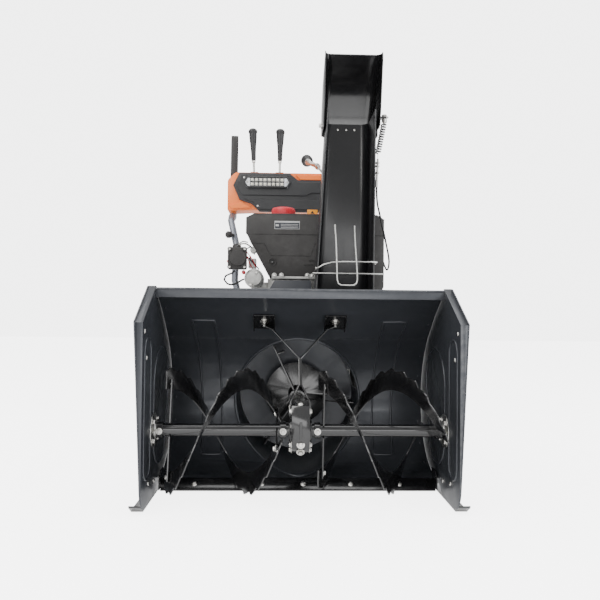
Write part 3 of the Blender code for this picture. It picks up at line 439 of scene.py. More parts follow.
def set_stage():
    camera_data = bpy.data.cameras.new("camera")
    camera_data.sensor_width = 36.0
    camera_data.lens = 36.0
    camera = bpy.data.objects.new("camera", camera_data)
    bpy.context.scene.collection.objects.link(camera)
    forward = Vector((0.0323, 0.9993, 0.0213)).normalized()
    right = Vector((0.9995, -0.0323, 0.0)).normalized()
    above = right.cross(forward)
    roll = 0.0101
    right, above = (right + above * roll).normalized(), (above - right * roll).normalized()
    turn = Matrix((right, above, -forward)).transposed().to_4x4()
    camera.matrix_world = Matrix.Translation((-0.054, -1.422 + FRONT_Y, 0.485)) @ turn
    bpy.context.scene.camera = camera

    floor_mesh = bpy.data.meshes.new("floor")
    reach = 9.0
    floor_mesh.from_pydata([(-reach, -reach, 0), (reach, -reach, 0), (reach, reach, 0),
                            (-reach, reach, 0)], [], [(0, 1, 2, 3)])
    floor = bpy.data.objects.new("floor", floor_mesh)
    bpy.context.scene.collection.objects.link(floor)
    pale = Nodes("floor_pale")
    tone = pale.ramp(pale.noise(1.5, 2.0), 0.3, 0.7, 0.0, 1.0)
    pale.join(pale.mix(tone, (0.9, 0.9, 0.9), (0.87, 0.87, 0.88)),
              pale.shader.inputs["Base Color"])
    pale.shader.inputs["Roughness"].default_value = 0.7
    pale.shader.inputs["Emission Color"].default_value = (1.0, 1.0, 1.0, 1.0)
    rays = pale.add("ShaderNodeLightPath")
    glow = pale.add("ShaderNodeMapRange")
    glow.inputs["To Min"].default_value = 0.55
    glow.inputs["To Max"].default_value = 4.6
    pale.join(rays.outputs["Is Camera Ray"], glow.inputs["Value"])
    pale.join(glow.outputs["Result"], pale.shader.inputs["Emission Strength"])
    floor.data.materials.append(pale.material)

    world = bpy.data.worlds.new("studio")
    world.use_nodes = True
    tree = world.node_tree
    background = tree.nodes["Background"]
    background.inputs["Color"].default_value = (1.0, 1.0, 1.0, 1.0)
    background.inputs["Strength"].default_value = 0.85
    seen = tree.nodes.new("ShaderNodeBackground")
    seen.inputs["Strength"].default_value = 6.0
    rays = tree.nodes.new("ShaderNodeLightPath")
    either = tree.nodes.new("ShaderNodeMixShader")
    tree.links.new(rays.outputs["Is Camera Ray"], either.inputs["Fac"])
    tree.links.new(background.outputs["Background"], either.inputs[1])
    tree.links.new(seen.outputs["Background"], either.inputs[2])
    tree.links.new(either.outputs["Shader"], tree.nodes["World Output"].inputs["Surface"])
    bpy.context.scene.world = world

    lights = (
        ("key", (-2.2, -2.6, 3.0), (2.2, 2.2), 95.0, (1.0, 0.985, 0.96)),
        ("fill", (2.8, -2.2, 2.0), (2.0, 2.4), 60.0, (0.96, 0.98, 1.0)),
        ("top", (0.0, -0.2, 3.6), (3.4, 2.4), 70.0, (1.0, 1.0, 1.0)),
        ("low_front", (0.0, -3.4, 0.7), (3.0, 0.8), 26.0, (1.0, 1.0, 1.0)),
    )
    for name, spot, size, power, colour in lights:
        data = bpy.data.lights.new(name, "AREA")
        data.shape = "RECTANGLE"
        data.size, data.size_y = size
        data.energy = power
        data.color = colour
        lamp = bpy.data.objects.new(name, data)
        lamp.location = spot
        aim = Vector((0.0, -0.2, 0.45)) - Vector(spot)
        lamp.rotation_euler = aim.to_track_quat("-Z", "Y").to_euler()
        bpy.context.scene.collection.objects.link(lamp)


def dress_nodes():
    """Every CAD node gets its slot's material, welded smooth shading and softened edges."""
    own = {"belt_cover": MATERIALS["belt_cover"], "gearbox_stay": MATERIALS["gloss_black"]}
    slots = {row["node"]: row["material_slot"] for row in frame["record"]["subparts"]}
    for name, obj in nodes.items():
        dress(obj, own.get(name, MATERIALS[slots[name]]))
        obj.data.shade_smooth()
        weld = obj.modifiers.new("weld", "WELD")
        weld.merge_threshold = 0.00002
        soften(obj, 0.0008, 2)


set_stage()
dress_nodes()


# ---- intake details ---------------------------------------------------------------------

BACK_Z = 0.225
WRAP_LINE = ([(0.142, 0.542), (0.24, 0.479)] + arc((0.15, BACK_Z), 0.254, 52, 0, 20)
             + arc((0.214, BACK_Z), 0.19, 0, -87, 28)[1:])


def wrap_at(height_share):
    """Point inside the wrap, as (y, z), at a share of its length from the lip."""
    lengths = [0.0]
    for a, b in zip(WRAP_LINE, WRAP_LINE[1:]):
        lengths.append(lengths[-1] + math.dist(a, b))
    target = height_share * lengths[-1]
    for i in range(len(WRAP_LINE) - 1):
        if lengths[i + 1] >= target:
            t = (target - lengths[i]) / (lengths[i + 1] - lengths[i])
            a, b = WRAP_LINE[i], WRAP_LINE[i + 1]
            return a[0] + (b[0] - a[0]) * t, a[1] + (b[1] - a[1]) * t
    return WRAP_LINE[-1]


def make_wrap_details():
    """Pressed ribs up the back wall, the rolled lip, and the bead round the drum mouth."""
    bm = bmesh.new()
    for side in (-1, 1):
        near, far = [], []
        for i in range(31):
            y, z = wrap_at(0.2 + 0.64 * i / 30)
            near.append((side * (0.222 + 0.016 * (1 - i / 30)), y, z))
            far.append((side * (0.278 + 0.022 * (1 - i / 30)), y, z))
        loop = near + far[::-1]
        add_swept(bm, route(loop + [loop[0]], 0.012)[:-1], 0.0032, 8, closed=True)
    piece("back_wall_ribs", bm, "housing_paint", smooth=60)

    swept_piece("rolled_lip", [[(-0.3765, 0.1405, 0.5445), (0.3765, 0.1405, 0.5445)]],
                0.0032, 12, "housing_paint")

    bm = bmesh.new()
    low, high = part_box("impeller_housing")
    mouth = min(0.5 * (high.x - low.x), 0.1868)
    loop = []
    for i in range(96):
        angle = math.tau * i / 96
        z = DRUM.z + mouth * math.sin(angle)
        if z > BACK_Z:
            y = 0.15 + math.sqrt(max(0.0, 0.254 ** 2 - (z - BACK_Z) ** 2))
        else:
            y = 0.214 + math.sqrt(max(0.0, 0.19 ** 2 - (z - BACK_Z) ** 2))
        loop.append((mouth * math.cos(angle), y - 0.0005, z))
    add_swept(bm, loop, 0.0042, 10, closed=True)
    piece("drum_mouth_bead", bm, "housing_paint", smooth=60)

    bm = bmesh.new()
    for side in (-1, 1):
        for i in range(9):
            y, z = wrap_at(0.12 + 0.095 * i)
            add_dome_bolt(bm, (side * 0.366, y, z), (0, 0.15 - y, BACK_Z - z), 0.003, 0.0008)
    piece("spot_welds", bm, "housing_paint", smooth=60)


def make_side_plate_details():
    for side, word in SIDES:
        inner = side * (HALF_WIDTH - 0.003)
        edge = [(side * 0.3975, 0.142, 0.549), (side * 0.3975, 0.001, 0.46)]
        down = route([(side * 0.3975, 0.001, 0.46), (side * 0.39, 0.001, 0.3),
                      (side * 0.3815, 0.001, 0.11), (side * 0.38, 0.01, 0.04),
                      (side * 0.3795, 0.04, 0.0105), (side * 0.379, 0.062, 0.0085)], 0.02)
        swept_piece(f"side_plate_hem_{word}", [edge, down], 0.0022, 10, "housing_paint")

        bm = bmesh.new()
        small = arc((0.06, 0.385), 0.035, 0, 180, 12) + arc((0.06, 0.11), 0.035, 180, 360, 12)
        large = arc((0.235, 0.29), 0.1, 0, 180, 15) + arc((0.215, 0.16), 0.08, 180, 360, 15)
        for outline, step in ((small, 0.01), (large, 0.012)):
            ridge = [(inner, y, z) for y, z in outline]
            add_swept(bm, route(ridge + [ridge[0]], step)[:-1], 0.0028, 8, closed=True)
        piece(f"pressed_ridges_{word}", bm, "housing_paint", smooth=60)

        bm = bmesh.new()
        for y, z in ((0.022, 0.437), (0.045, 0.372), (0.08, 0.06), (0.15, 0.048)):
            add_dome_bolt(bm, (inner, y, z), (-side, 0, 0), 0.0055, 0.0028)
            add_hex_bolt(bm, (side * HALF_WIDTH, y, z), (side, 0, 0), 0.01, 0.005)
        for angle in (45, 135, 225, 315):
            a = math.radians(angle)
            add_hex_bolt(bm, (side * 0.3735, AUGER.y + 0.034 * math.cos(a),
                              AUGER.z + 0.034 * math.sin(a)), (-side, 0, 0), 0.01, 0.005)
        add_turned(bm, [(0.0132, 0), (0.0195, 0), (0.0195, 0.01), (0.0178, 0.012),
                        (0.0132, 0.012)], (side * 0.3655, AUGER.y, AUGER.z), (-side, 0, 0), 28)
        piece(f"side_plate_bolts_{word}", bm, "zinc", 0.0003)

        bm = bmesh.new()
        tab = [(0.178, 0.014), (0.232, 0.022), (0.232, 0.062), (0.196, 0.062), (0.178, 0.04)]
        add_prism(bm, tab, "X", side * 0.369 - 0.0015, side * 0.369 + 0.0015)
        piece(f"scraper_end_tab_{word}", bm, "gloss_black", 0.0005)


def make_scraper_and_skids():
    bm = bmesh.new()
    normal = Vector((0, -0.66, 0.75)).normalized()
    for x in (-0.28, -0.1, 0.012, 0.14, 0.272):
        add_dome_bolt(bm, (x, 0.2045, 0.0232), normal, 0.0085, 0.0045)
    piece("scraper_bolts", bm, "zinc", smooth=50)
    bm = bmesh.new()
    for side in (-1, 1):
        for y in (0.105, 0.18):
            add_hex_bolt(bm, (side * 0.385, y, 0.05), (side, 0, 0), 0.013, 0.008)
    piece("skid_bolts", bm, "zinc", 0.0004)


def ribbon_mesh(bm, side, start_x, end_x, start_angle, turns):
    """Helical flight whose outer edge is cut into raked teeth."""
    steps, teeth = 240, 15
    thick = 0.0016
    rings = []
    for i in range(steps + 1):
        share = i / steps
        x = start_x + (end_x - start_x) * share
        angle = math.radians(start_angle) - math.tau * turns * share
        phase = (share * teeth) % 1.0
        tooth = 0.0105 * (phase / 0.72 if phase < 0.72 else (1 - phase) / 0.28)
        fade = min(1.0, share / 0.03, (1 - share) / 0.03)
        outer = 0.1505 + tooth * fade
        ring = []
        for radius, shift in ((0.1035, -thick), (0.128, -thick - 0.0008), (outer, -thick),
                              (outer, thick), (0.128, thick - 0.0008), (0.1035, thick)):
            ring.append(bm.verts.new((side * (x + shift), AUGER.y - radius * math.cos(angle),
                                      AUGER.z + radius * math.sin(angle))))
        rings.append(ring)
    for lower, upper in zip(rings, rings[1:]):
        for k in range(6):
            j = (k + 1) % 6
            bm.faces.new((lower[k], lower[j], upper[j], upper[k]))
    bm.faces.new(rings[0])
    bm.faces.new(rings[-1])


def make_augers():
    for side, word, start in ((-1, "left", 180), (1, "right", 90)):
        bm = bmesh.new()
        for half in (0, 180):
            ribbon_mesh(bm, side, 0.048, 0.345, start + half, 0.75)
        flights = piece(f"auger_flights_{word}", bm, "gloss_black", smooth=30, body="auger")
        bm = bmesh.new()
        add_ring(bm, 0.0133, 0.016, 0.332, AUGER, (side, 0, 0), 40, 0.03)
        for place in (0.036, 0.35):
            add_ring(bm, 0.016, 0.0205, 0.016, AUGER, (side, 0, 0), 40, place)
        piece(f"auger_tube_{word}", bm, "gloss_black", 0.0008, body="auger")
        bm = bmesh.new()
        bolts = bmesh.new()
        for share in (0.04, 0.96):
            x = side * (0.048 + 0.297 * share)
            turn = Matrix.Rotation(math.radians(90 - start + 270 * share), 4, "X")
            move = Matrix.Translation((x, AUGER.y, AUGER.z)) @ turn
            for end in (-1, 1):
                low, high = sorted((end * 0.0165, end * 0.128))
                add_box(bm, (-0.0022, -0.013, low), (0.0022, 0.013, high), move)
                spot = move @ Vector((side * 0.0022, 0, end * 0.117))
                add_hex_bolt(bolts, spot, (side, 0, 0), 0.01, 0.005)
        piece(f"auger_spokes_{word}", bm, "gloss_black", 0.001, body="auger")
        for place in (0.044, 0.358):
            for way in (-1, 1):
                add_hex_bolt(bolts, (side * place, AUGER.y - way * 0.0205, AUGER.z),
                             (0, -way, 0), 0.009, 0.006)
        piece(f"auger_bolts_{word}", bolts, "zinc", 0.0003, body="auger")
        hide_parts(f"auger_{word}")


def make_gearbox_details():
    bm = bmesh.new()
    outline = arc((AUGER.y, AUGER.z), 0.06, 205, 335, 16) + [(0.1885, 0.212),
                                                                (0.078, 0.212)]
    add_prism(bm, outline, "X", -0.0035, 0.0035)
    for side in (-1, 1):
        add_turned(bm, [(0.014, 0.0225), (0.031, 0.0225), (0.03, 0.0262), (0.0264, 0.0268),
                        (0.0262, 0.0292), (0.014, 0.0292)], AUGER, (side, 0, 0), 36)
    add_turned(bm, [(0.0242, 0.16), (0.03, 0.16), (0.03, 0.168), (0.0262, 0.176),
                    (0.0262, 0.226), (0.0242, 0.226)], (0, 0, DRUM.z), Y, 36)
    piece("gearbox_seam_and_hubs", bm, "gloss_black", 0.0008)
    bm = bmesh.new()
    for side in (-1, 1):
        for angle in (215, 245, 275, 305, 330):
            a = math.radians(angle)
            add_hex_bolt(bm, (side * 0.0225, AUGER.y + 0.05 * math.cos(a),
                              AUGER.z + 0.05 * math.sin(a)), (side, 0, 0), 0.009, 0.005)
        for y in (0.1, 0.135, 0.172):
            add_hex_bolt(bm, (side * 0.0225, y, 0.236), (side, 0, 0), 0.009, 0.005)
    add_dome_bolt(bm, (0, 0.112, 0.25), Z, 0.01, 0.007)
    add_dome_bolt(bm, (0, 0.099, 0.234), (0, -1, 0.2), 0.01, 0.006)
    add_hex_bolt(bm, (0, 0.0815, 0.156), AHEAD, 0.011, 0.006)
    add_hex_bolt(bm, (0, 0.0945, 0.135), (0, -1, -0.6), 0.011, 0.006)
    piece("gearbox_bolts", bm, "zinc", 0.0003)

    bm = bmesh.new()
    bolts = bmesh.new()
    for side in (-1, 1):
        slope = Matrix.Translation((side * 0.099, 0.255, 0.459)) @ Matrix.Rotation(
            math.radians(-39), 4, "X")
        add_box(bm, (-0.03, -0.03, -0.0015), (0.03, 0.03, 0.0015), slope)
        add_box(bm, (-0.03, -0.03, -0.012), (-0.027, 0.03, 0.0), slope)
        add_box(bm, (0.027, -0.03, -0.012), (0.03, 0.03, 0.0), slope)
        foot = slope @ Vector((0, -0.004, -0.002))
        down = slope.to_3x3() @ Vector((0, 0, -1))
        add_hex_bolt(bolts, foot, down, 0.013, 0.008)
        add_turned(bolts, [(0, 0), (0.004, 0), (0.004, 0.017), (0.0033, 0.018), (0, 0.018)],
                   foot, down, 16)
    piece("stay_brackets", bm, "gloss_black", 0.0006)
    piece("stay_bolts", bolts, "zinc", 0.0003)


make_wrap_details()
make_side_plate_details()
make_scraper_and_skids()
make_augers()
make_gearbox_details()


# ---- chute details ----------------------------------------------------------------------

def chute_half(z):
    return 0.09 - 0.016 * (z - 0.4975) / 0.6155


def chute_mid(z):
    return 0.14 + 0.0185 * (z - 0.4975) / 0.6155


def make_chute_details():
    edges = [[(chute_mid(z) + side * (chute_half(z) - 0.0013), 0.4012, z)
              for z in (0.4985, 0.8, 1.112)] for side in (-1, 1)]
    swept_piece("chute_folded_edges", edges, 0.0026, 8, "chute_paint", body="chute")
    bm = bmesh.new()
    for i in (-1, 0, 1):
        add_dome_bolt(bm, (chute_mid(1.095) + 0.028 * i, 0.5575, 1.095), AHEAD, 0.0048,
                      0.0022)
    for side in (-1, 1):
        for z in (0.52, 0.545):
            add_hex_bolt(bm, (chute_mid(z) + side * chute_half(z), 0.47, z), (side, 0, 0),
                         0.011, 0.006)
    piece("chute_rivets", bm, "zinc", 0.0002, body="chute")

    bm = bmesh.new()
    count = 40
    for i in range(count):
        turn = Matrix.Translation(CHUTE) @ Matrix.Rotation(math.tau * i / count, 4, "Z")
        add_box(bm, (0.0895, -0.003, 0.468), (0.0945, 0.003, 0.487), turn)
    piece("collar_teeth", bm, "gloss_black", 0.0006, body="chute")

    bm = bmesh.new()
    zinc = bmesh.new()
    mid = chute_mid(HINGE_Z) + 0.004
    for side in (-1, 1):
        add_ring(zinc, 0, 0.0135, 0.0015, (mid + side * 0.0887, HINGE_Y, HINGE_Z),
                 (side, 0, 0), 28)
        add_hex_bolt(zinc, (mid + side * 0.0902, HINGE_Y, HINGE_Z), (side, 0, 0), 0.012, 0.007)
        edge = [(mid + side * 0.0873, front, z) for z, front in
                ((1.0712, 0.4255), (1.135, 0.4055), (1.215, 0.3885), (1.262, 0.3775),
                 (1.2805, 0.3815))]
        add_swept(bm, route(edge, 0.01), 0.0018, 8)
    lip = [(mid - 0.072, 0.4025, 1.2806), (mid + 0.072, 0.4025, 1.2806)]
    add_swept(bm, lip, 0.0018, 8)
    piece("deflector_folded_edges", bm, "gloss_black", smooth=60, body="deflector")
    piece("deflector_pivots", zinc, "zinc", 0.0003, body="deflector")

    bm = bmesh.new()
    plate = [(0.488, 1.055), (0.512, 1.055), (0.514, 1.118), (0.507, 1.135), (0.494, 1.135),
             (0.486, 1.118)]
    add_box(bm, (0.25, 0.49, 1.116), (0.281, 0.512, 1.1195))
    add_prism(bm, plate, "X", 0.25, 0.2528)
    piece("cable_bracket", bm, "gloss_black", 0.0006, body="deflector")
    bm = bmesh.new()
    add_hex_bolt(bm, (0.2755, 0.5, 1.1195), Z, 0.015, 0.008)
    add_ring(bm, 0, 0.0085, 0.01, (0.2755, 0.5, 1.104), Z, 16)
    add_ring(bm, 0, 0.0042, 0.03, (0.2755, 0.5, 1.095), Z, 16)
    piece("cable_pivot_bolt", bm, "zinc", 0.0003, body="deflector")


def make_deflector_cable():
    """Outer cable with its adjuster and return spring."""
    points = [(0.2755, 0.5, 1.108), (0.265, 0.5, 1.055), (0.256, 0.5, 1.004),
              (0.2523, 0.5, 0.917), (0.254, 0.5, 0.849), (0.264, 0.503, 0.803),
              (0.283, 0.51, 0.726), (0.305, 0.56, 0.66), (0.318, 0.68, 0.64),
              (0.318, 0.8, 0.7), (0.3, 0.873, 0.765), (0.22, 0.89, 0.8),
              (0.11, 0.93, 0.835), (0.01, 0.99, 0.862), (-0.06, 1.03, 0.885)]
    line = route(points, 0.007)
    turn_part = [p for p in line if 0.722 < p.z < 0.905 and p.y < 0.53]
    fixed_part = [p for p in line if p.z <= 0.73 or p.y > 0.53]
    top_part = [p for p in line if p.z > 0.9 and p.y < 0.53]
    fixed = swept_piece("deflector_cable_sheath", [fixed_part], 0.003, 12, "cable")
    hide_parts("deflector_cable")
    cable = swept_piece("deflector_cable_loop", [turn_part], 0.003, 12, "cable", body=None)
    inner = swept_piece("deflector_cable_wire", [top_part], 0.001, 8, "zinc", body=None)
    start, end = Vector((0.2745, 0.5, 1.1)), Vector((0.256, 0.5, 1.004))
    run = (end - start).normalized()
    side, other = Y, run.cross(Y)
    turns, steps = 12, 12
    coil = []
    for i in range(turns * steps + 1):
        angle = math.tau * i / steps
        spot = start + (end - start) * i / (turns * steps)
        coil.append(spot + (side * math.cos(angle) + other * math.sin(angle)) * 0.0072)
    spring = swept_piece("deflector_spring", [coil], 0.0026, 6, "gloss_black", body=None)
    bm = bmesh.new()
    first, last = Vector((0.2553, 0.5, 0.985)), Vector((0.2524, 0.5, 0.915))
    run = last - first
    profile = [(0, 0)]
    threads = 26
    for i in range(threads):
        profile += [(0.0034, run.length * i / threads),
                    (0.004, run.length * (i + 0.5) / threads)]
    add_turned(bm, profile + [(0.0034, run.length), (0, run.length)], first, run, 16)
    for share in (0.15, 0.3, 0.62):
        add_hex_bolt(bm, first + run * share, run, 0.012, 0.006, washer=False)
    add_turned(bm, [(0, 0), (0.0052, 0), (0.0045, 0.022), (0, 0.022)], last, run, 16)
    adjuster = piece("cable_adjuster", bm, "zinc", 0.0002, body=None)
    for part in (cable, inner, spring, adjuster):
        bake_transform(part)


def make_guard_ends():
    bm = bmesh.new()
    z = 0.64
    for side in (-1, 1):
        add_hex_bolt(bm, (chute_mid(z) + side * (chute_half(z) + 0.0003), 0.4105, z - 0.02
                          if side < 0 else z), (side, 0, 0), 0.01, 0.005)
    piece("guard_bolts", bm, "zinc", 0.0003, body="chute")


# ---- console details --------------------------------------------------------------------

def make_fascia_faces():
    bm = bmesh.new()
    lower = [(-0.15, 0.8985), (0.238, 0.8985), (0.25, 0.932), (0.249, 0.9385),
             (-0.205, 0.9385), (-0.166, 0.926)]
    add_prism(bm, lower, "Y", FASCIA_Y - 0.004, FASCIA_Y)
    upper = [(-0.235, 0.99), (-0.214, 0.9545), (0.04, 0.9545), (0.066, 0.966),
             (0.255, 0.966), (0.252, 0.998), (0.238, 1.01), (0.012, 1.01),
             (-0.02, 1.037), (-0.214, 1.037)]
    add_prism(bm, upper, "Y", FASCIA_Y - 0.005, FASCIA_Y)
    piece("fascia_faces", bm, "fascia", 0.0022, 3)

    bm = bmesh.new()
    add_prism(bm, [(0.02, 1.0205), (0.236, 1.0205), (0.222, 1.0405), (0.002, 1.0405)], "Y",
              0.984, 0.9922)
    add_prism(bm, [(-0.267, 0.912), (-0.252, 0.9), (-0.176, 0.905), (-0.212, 0.929)], "Y",
              0.985, 0.9922)
    piece("console_front_trim", bm, "orange", 0.002, 3)


def make_headlight_details():
    """Bezel, board, two rows of cells with their lamps, and the screws of the fascia."""
    bm = bmesh.new()
    half, tall = 0.0945, 0.022
    frame_line = [(-half, 0), (-half + 0.0145, -tall), (half - 0.0145, -tall), (half, 0),
                  (half - 0.0145, tall), (-half + 0.0145, tall)]
    ring = [(LAMP_X + a * 0.97, 0.967, LAMP_Z + b * 0.93) for a, b in frame_line]
    add_swept(bm, ring, 0.0042, 10, closed=True)
    piece("headlight_bezel", bm, "knob", smooth=50, slot="fascia")
    bm = bmesh.new()
    leds = bmesh.new()
    for row in (-1, 1):
        for i in range(8):
            x = LAMP_X - 0.0595 + 0.017 * i
            z = LAMP_Z + 0.0088 * row
            add_box(bm, (x - 0.0066, 0.9655, z - 0.0064), (x + 0.0066, 0.9672, z + 0.0064))
            add_turned(leds, [(0, 0), (0.0034, 0), (0.003, 0.0018), (0.0014, 0.0026),
                              (0, 0.0028)], (x, 0.9656, z), AHEAD, 16)
    piece("headlight_reflectors", bm, "zinc", 0.0012, slot="lens")
    bm = bmesh.new()
    add_box(bm, (LAMP_X - 0.0685, 0.9668, LAMP_Z - 0.0178),
            (LAMP_X + 0.0685, 0.9681, LAMP_Z + 0.0178))
    piece("headlight_board", bm, "knob", 0.0008, slot="lens")
    piece("headlight_leds", leds, "led")
    bm = bmesh.new()
    for side in (-1, 1):
        add_pan_screw(bm, (LAMP_X + side * 0.08, 0.9676, LAMP_Z), AHEAD, 0.0042)
    for x, z in ((-0.205, 1.025), (0.225, 0.92), (-0.15, 0.912), (0.235, 0.998)):
        add_pan_screw(bm, (x, 0.9752 if z > 0.95 else 0.9762, z), AHEAD, 0.0042)
    piece("fascia_screws", bm, "zinc")


def make_lever_gates():
    """Rectangular rim round each lever slot in the console's top."""
    bm = bmesh.new()
    for x in (-0.165, -0.064):
        rims = []
        for half, front, rear in ((0.016, 0.994, 1.083), (0.0088, 1.0002, 1.0788)):
            for z in (1.0492, 1.052):
                rims.append([bm.verts.new((x + a * half, b, z)) for a, b in
                             ((-1, front), (1, front), (1, rear), (-1, rear))])
        for first, second in ((0, 1), (2, 3), (1, 3), (0, 2)):
            for i in range(4):
                j = (i + 1) % 4
                bm.faces.new((rims[first][i], rims[first][j], rims[second][j],
                              rims[second][i]))
    piece("lever_gates", bm, "knob", 0.0006)


def make_lever_knobs():
    for word, foot_x, top_x in (("speed", -0.165, -0.172), ("deflector", -0.064, -0.063)):
        foot, top = Vector((foot_x, 1.04, 0.96)), Vector((top_x, 1.048, 1.131))
        run = (top - foot).normalized()
        bm = bmesh.new()
        profile = [(0.0052, 0), (0.0082, 0), (0.0094, 0.006), (0.01, 0.03),
                   (0.0122, 0.062), (0.0152, 0.092), (0.016, 0.108), (0.0158, 0.114),
                   (0.0182, 0.1175), (0.0186, 0.1215), (0.0172, 0.1275), (0.012, 0.1325),
                   (0, 0.134)]
        add_turned(bm, profile + [(0, 0.04), (0.0052, 0.04)], top - run * 0.02, run, 36)
        knob = piece(f"{word}_lever_knob", bm, "knob", smooth=50, body=f"{word}_lever")
        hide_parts(f"{word}_knob")
        bm = bmesh.new()
        add_ring(bm, 0.0046, 0.0072, 0.008, top - run * 0.029, run, 24)
        piece(f"{word}_lever_nut", bm, "zinc", 0.0004, body=f"{word}_lever")


def make_grip_ribs():
    bm = bmesh.new()
    for side in (-1, 1):
        run = Vector((side * 0.008, 0.225, 0.055)).normalized()
        start = Vector((side * 0.262, 1.195, 0.93)) + run * 0.07
        for i in range(15):
            add_turned(bm, [(0.016, 0), (0.0178, 0.0008), (0.0182, 0.003), (0.0178, 0.0052),
                            (0.016, 0.006)], start + run * (0.02 + 0.0086 * i), run, 32)
    piece("grip_ribs", bm, "rubber", smooth=60)


def make_clutch_lever_details():
    for side, word in SIDES:
        bm = bmesh.new()
        x = side * 0.255
        for edge in (-1, 1):
            rail = [(x + edge * 0.0125, 1.092, 1.0), (x + edge * 0.0125, 1.11, 1.212)]
            add_swept(bm, rail, 0.0026, 8)
        piece(f"clutch_lever_rails_{word}", bm, "plastic_black", smooth=60,
              body=f"clutch_{word}")
        bm = bmesh.new()
        for edge in (-1, 1):
            add_hex_bolt(bm, (x + edge * 0.0146, 1.1, 0.945), (edge, 0, 0), 0.01, 0.005)
        piece(f"clutch_pivot_{word}", bm, "zinc", 0.0003, body=f"clutch_{word}")


# ---- engine details ---------------------------------------------------------------------

def make_shroud_details():
    # Painted shade: the grooves, the recess round the screw and two small bars are drawn as
    # raised marks in the darker, matte tyre material. The dark colour stands for the shade inside
    # them.
    groove_shade = bmesh.new()
    add_swept(groove_shade, route([(-0.1705, SHROUD_Y, 0.75), (0.2955, SHROUD_Y, 0.75)], 0.02),
              0.0012, 6)
    groove = [(-0.155, 0.719), (-0.1115, 0.719), (-0.0895, 0.6775), (0.047, 0.6775),
              (0.059, 0.719), (0.15, 0.719)]
    add_swept(groove_shade, [(x, SHROUD_Y, z) for x, z in groove], 0.0011, 6)
    add_ring(groove_shade, 0, 0.0128, 0.0014, (-0.0835, SHROUD_Y, 0.656), AHEAD, 28)
    for low_x, high_x, low_z, high_z in ((0.04, 0.059, 0.659, 0.664),
                                         (0.024, 0.059, 0.644, 0.65)):
        add_box(groove_shade, (low_x, SHROUD_Y - 0.0012, low_z), (high_x, SHROUD_Y + 0.001, high_z))
    piece("shroud_groove_shade", groove_shade, "tyre", smooth=60, slot="plastic_black")
    bm = bmesh.new()
    lip = [(-0.093, 0.6125), (-0.1655, 0.744), (-0.172, 0.752), (-0.172, 0.806),
           (-0.146, 0.819), (0.272, 0.819), (0.297, 0.803)]
    for part, radius in ((lip[2:], 0.002), (lip[:3], 0.0016)):
        add_swept(bm, [(x, SHROUD_Y + 0.0014, z) for x, z in part], radius, 8)
    add_turned(bm, [(0.0105, 0), (0.0128, 0), (0.014, 0.0022), (0.0125, 0.003),
                    (0.0105, 0.0018)], (-0.0835, SHROUD_Y, 0.656), AHEAD, 28)
    piece("shroud_edges", bm, "plastic_black", smooth=60)
    zinc = bmesh.new()
    add_pan_screw(zinc, (-0.0835, SHROUD_Y - 0.0014, 0.656), AHEAD, 0.0048)
    piece("shroud_screw", zinc, "gloss_black", slot="steel")


def make_engine_label():
    bm = bmesh.new()
    add_box(bm, (-0.0775, SHROUD_Y - 0.0006, 0.768), (0.008, SHROUD_Y, 0.7955))
    piece("engine_label", bm, "label_print", 0.0008)
    bm = bmesh.new()
    add_box(bm, (-0.076, SHROUD_Y - 0.001, 0.7695), (0.0065, SHROUD_Y - 0.0004, 0.79))
    piece("engine_label_field", bm, "belt_cover")
    bm = bmesh.new()
    add_box(bm, (-0.0735, SHROUD_Y - 0.0014, 0.7775), (-0.063, SHROUD_Y - 0.0008, 0.7835))
    for i in range(3):
        add_box(bm, (-0.056, SHROUD_Y - 0.0014, 0.773 + 0.0052 * i),
                (0.003, SHROUD_Y - 0.0008, 0.7742 + 0.0052 * i))
    piece("engine_label_marks", bm, "label_print")


def make_cap_and_choke_details():
    bm = bmesh.new()
    cap = Vector((-0.047, 0.68, 0.8189))
    for i in range(36):
        turn = Matrix.Translation(cap) @ Matrix.Rotation(math.tau * i / 36, 4, "Z")
        add_box(bm, (0.0385, -0.0016, 0.0045), (0.0416, 0.0016, 0.0245), turn)
    add_ring(bm, 0.0225, 0.0275, 0.0012, cap + Z * 0.0325, Z, 36)
    piece("fuel_cap_ribs", bm, "red", 0.0006, body="fuel_cap")
    bm = bmesh.new()
    arrow = [(0.0475, 0.833), (0.0605, 0.833), (0.054, 0.844)]
    add_prism(bm, arrow, "Y", 0.6728, 0.6738)
    add_box(bm, (0.0475, 0.6728, 0.828), (0.0605, 0.6738, 0.8312))
    piece("choke_arrow", bm, "knob", body="choke_knob")


def make_engine_castings():
    ears = ((-0.076, 0.6105), (-0.052, 0.611), (0.036, 0.611), (0.052, 0.61),
            (0.15, 0.611), (0.212, 0.6105))
    bm = bmesh.new()
    for x, z in ears:
        add_ring(bm, 0.0035, 0.0088, 0.003, (x, 0.6055, z), AHEAD, 20)
    low = [(-0.09, 0.548), (-0.086, 0.598), (-0.06, 0.6), (-0.074, 0.585),
           (-0.074, 0.548)]
    add_prism(bm, low, "Y", 0.65, 0.6625)
    for i in range(7):
        z = 0.468 + 0.018 * i
        add_box(bm, (0.1155, 0.684, z), (0.1985, 0.821, z + 0.0035))
    piece("engine_castings", bm, "cast", 0.0008)
    bm = bmesh.new()
    for x, z in ears:
        add_hex_bolt(bm, (x, 0.6026, z), AHEAD, 0.01, 0.0022, washer=False)
    for x, z in ((-0.136, 0.618), (-0.1555, 0.577)):
        add_pan_screw(bm, (x, 0.58, z), AHEAD, 0.0058)
    piece("engine_bolts", bm, "zinc", 0.0003)
    bm = bmesh.new()
    add_turned(bm, [(0.024, 0), (0.0322, 0.007), (0.0322, 0.02), (0.031, 0.021),
                    (0.031, 0.09), (0.0322, 0.091), (0.0322, 0.1), (0.024, 0.104),
                    (0.024, 0)], STARTER, Y, 36)
    piece("starter_bands", bm, "cast", smooth=40)


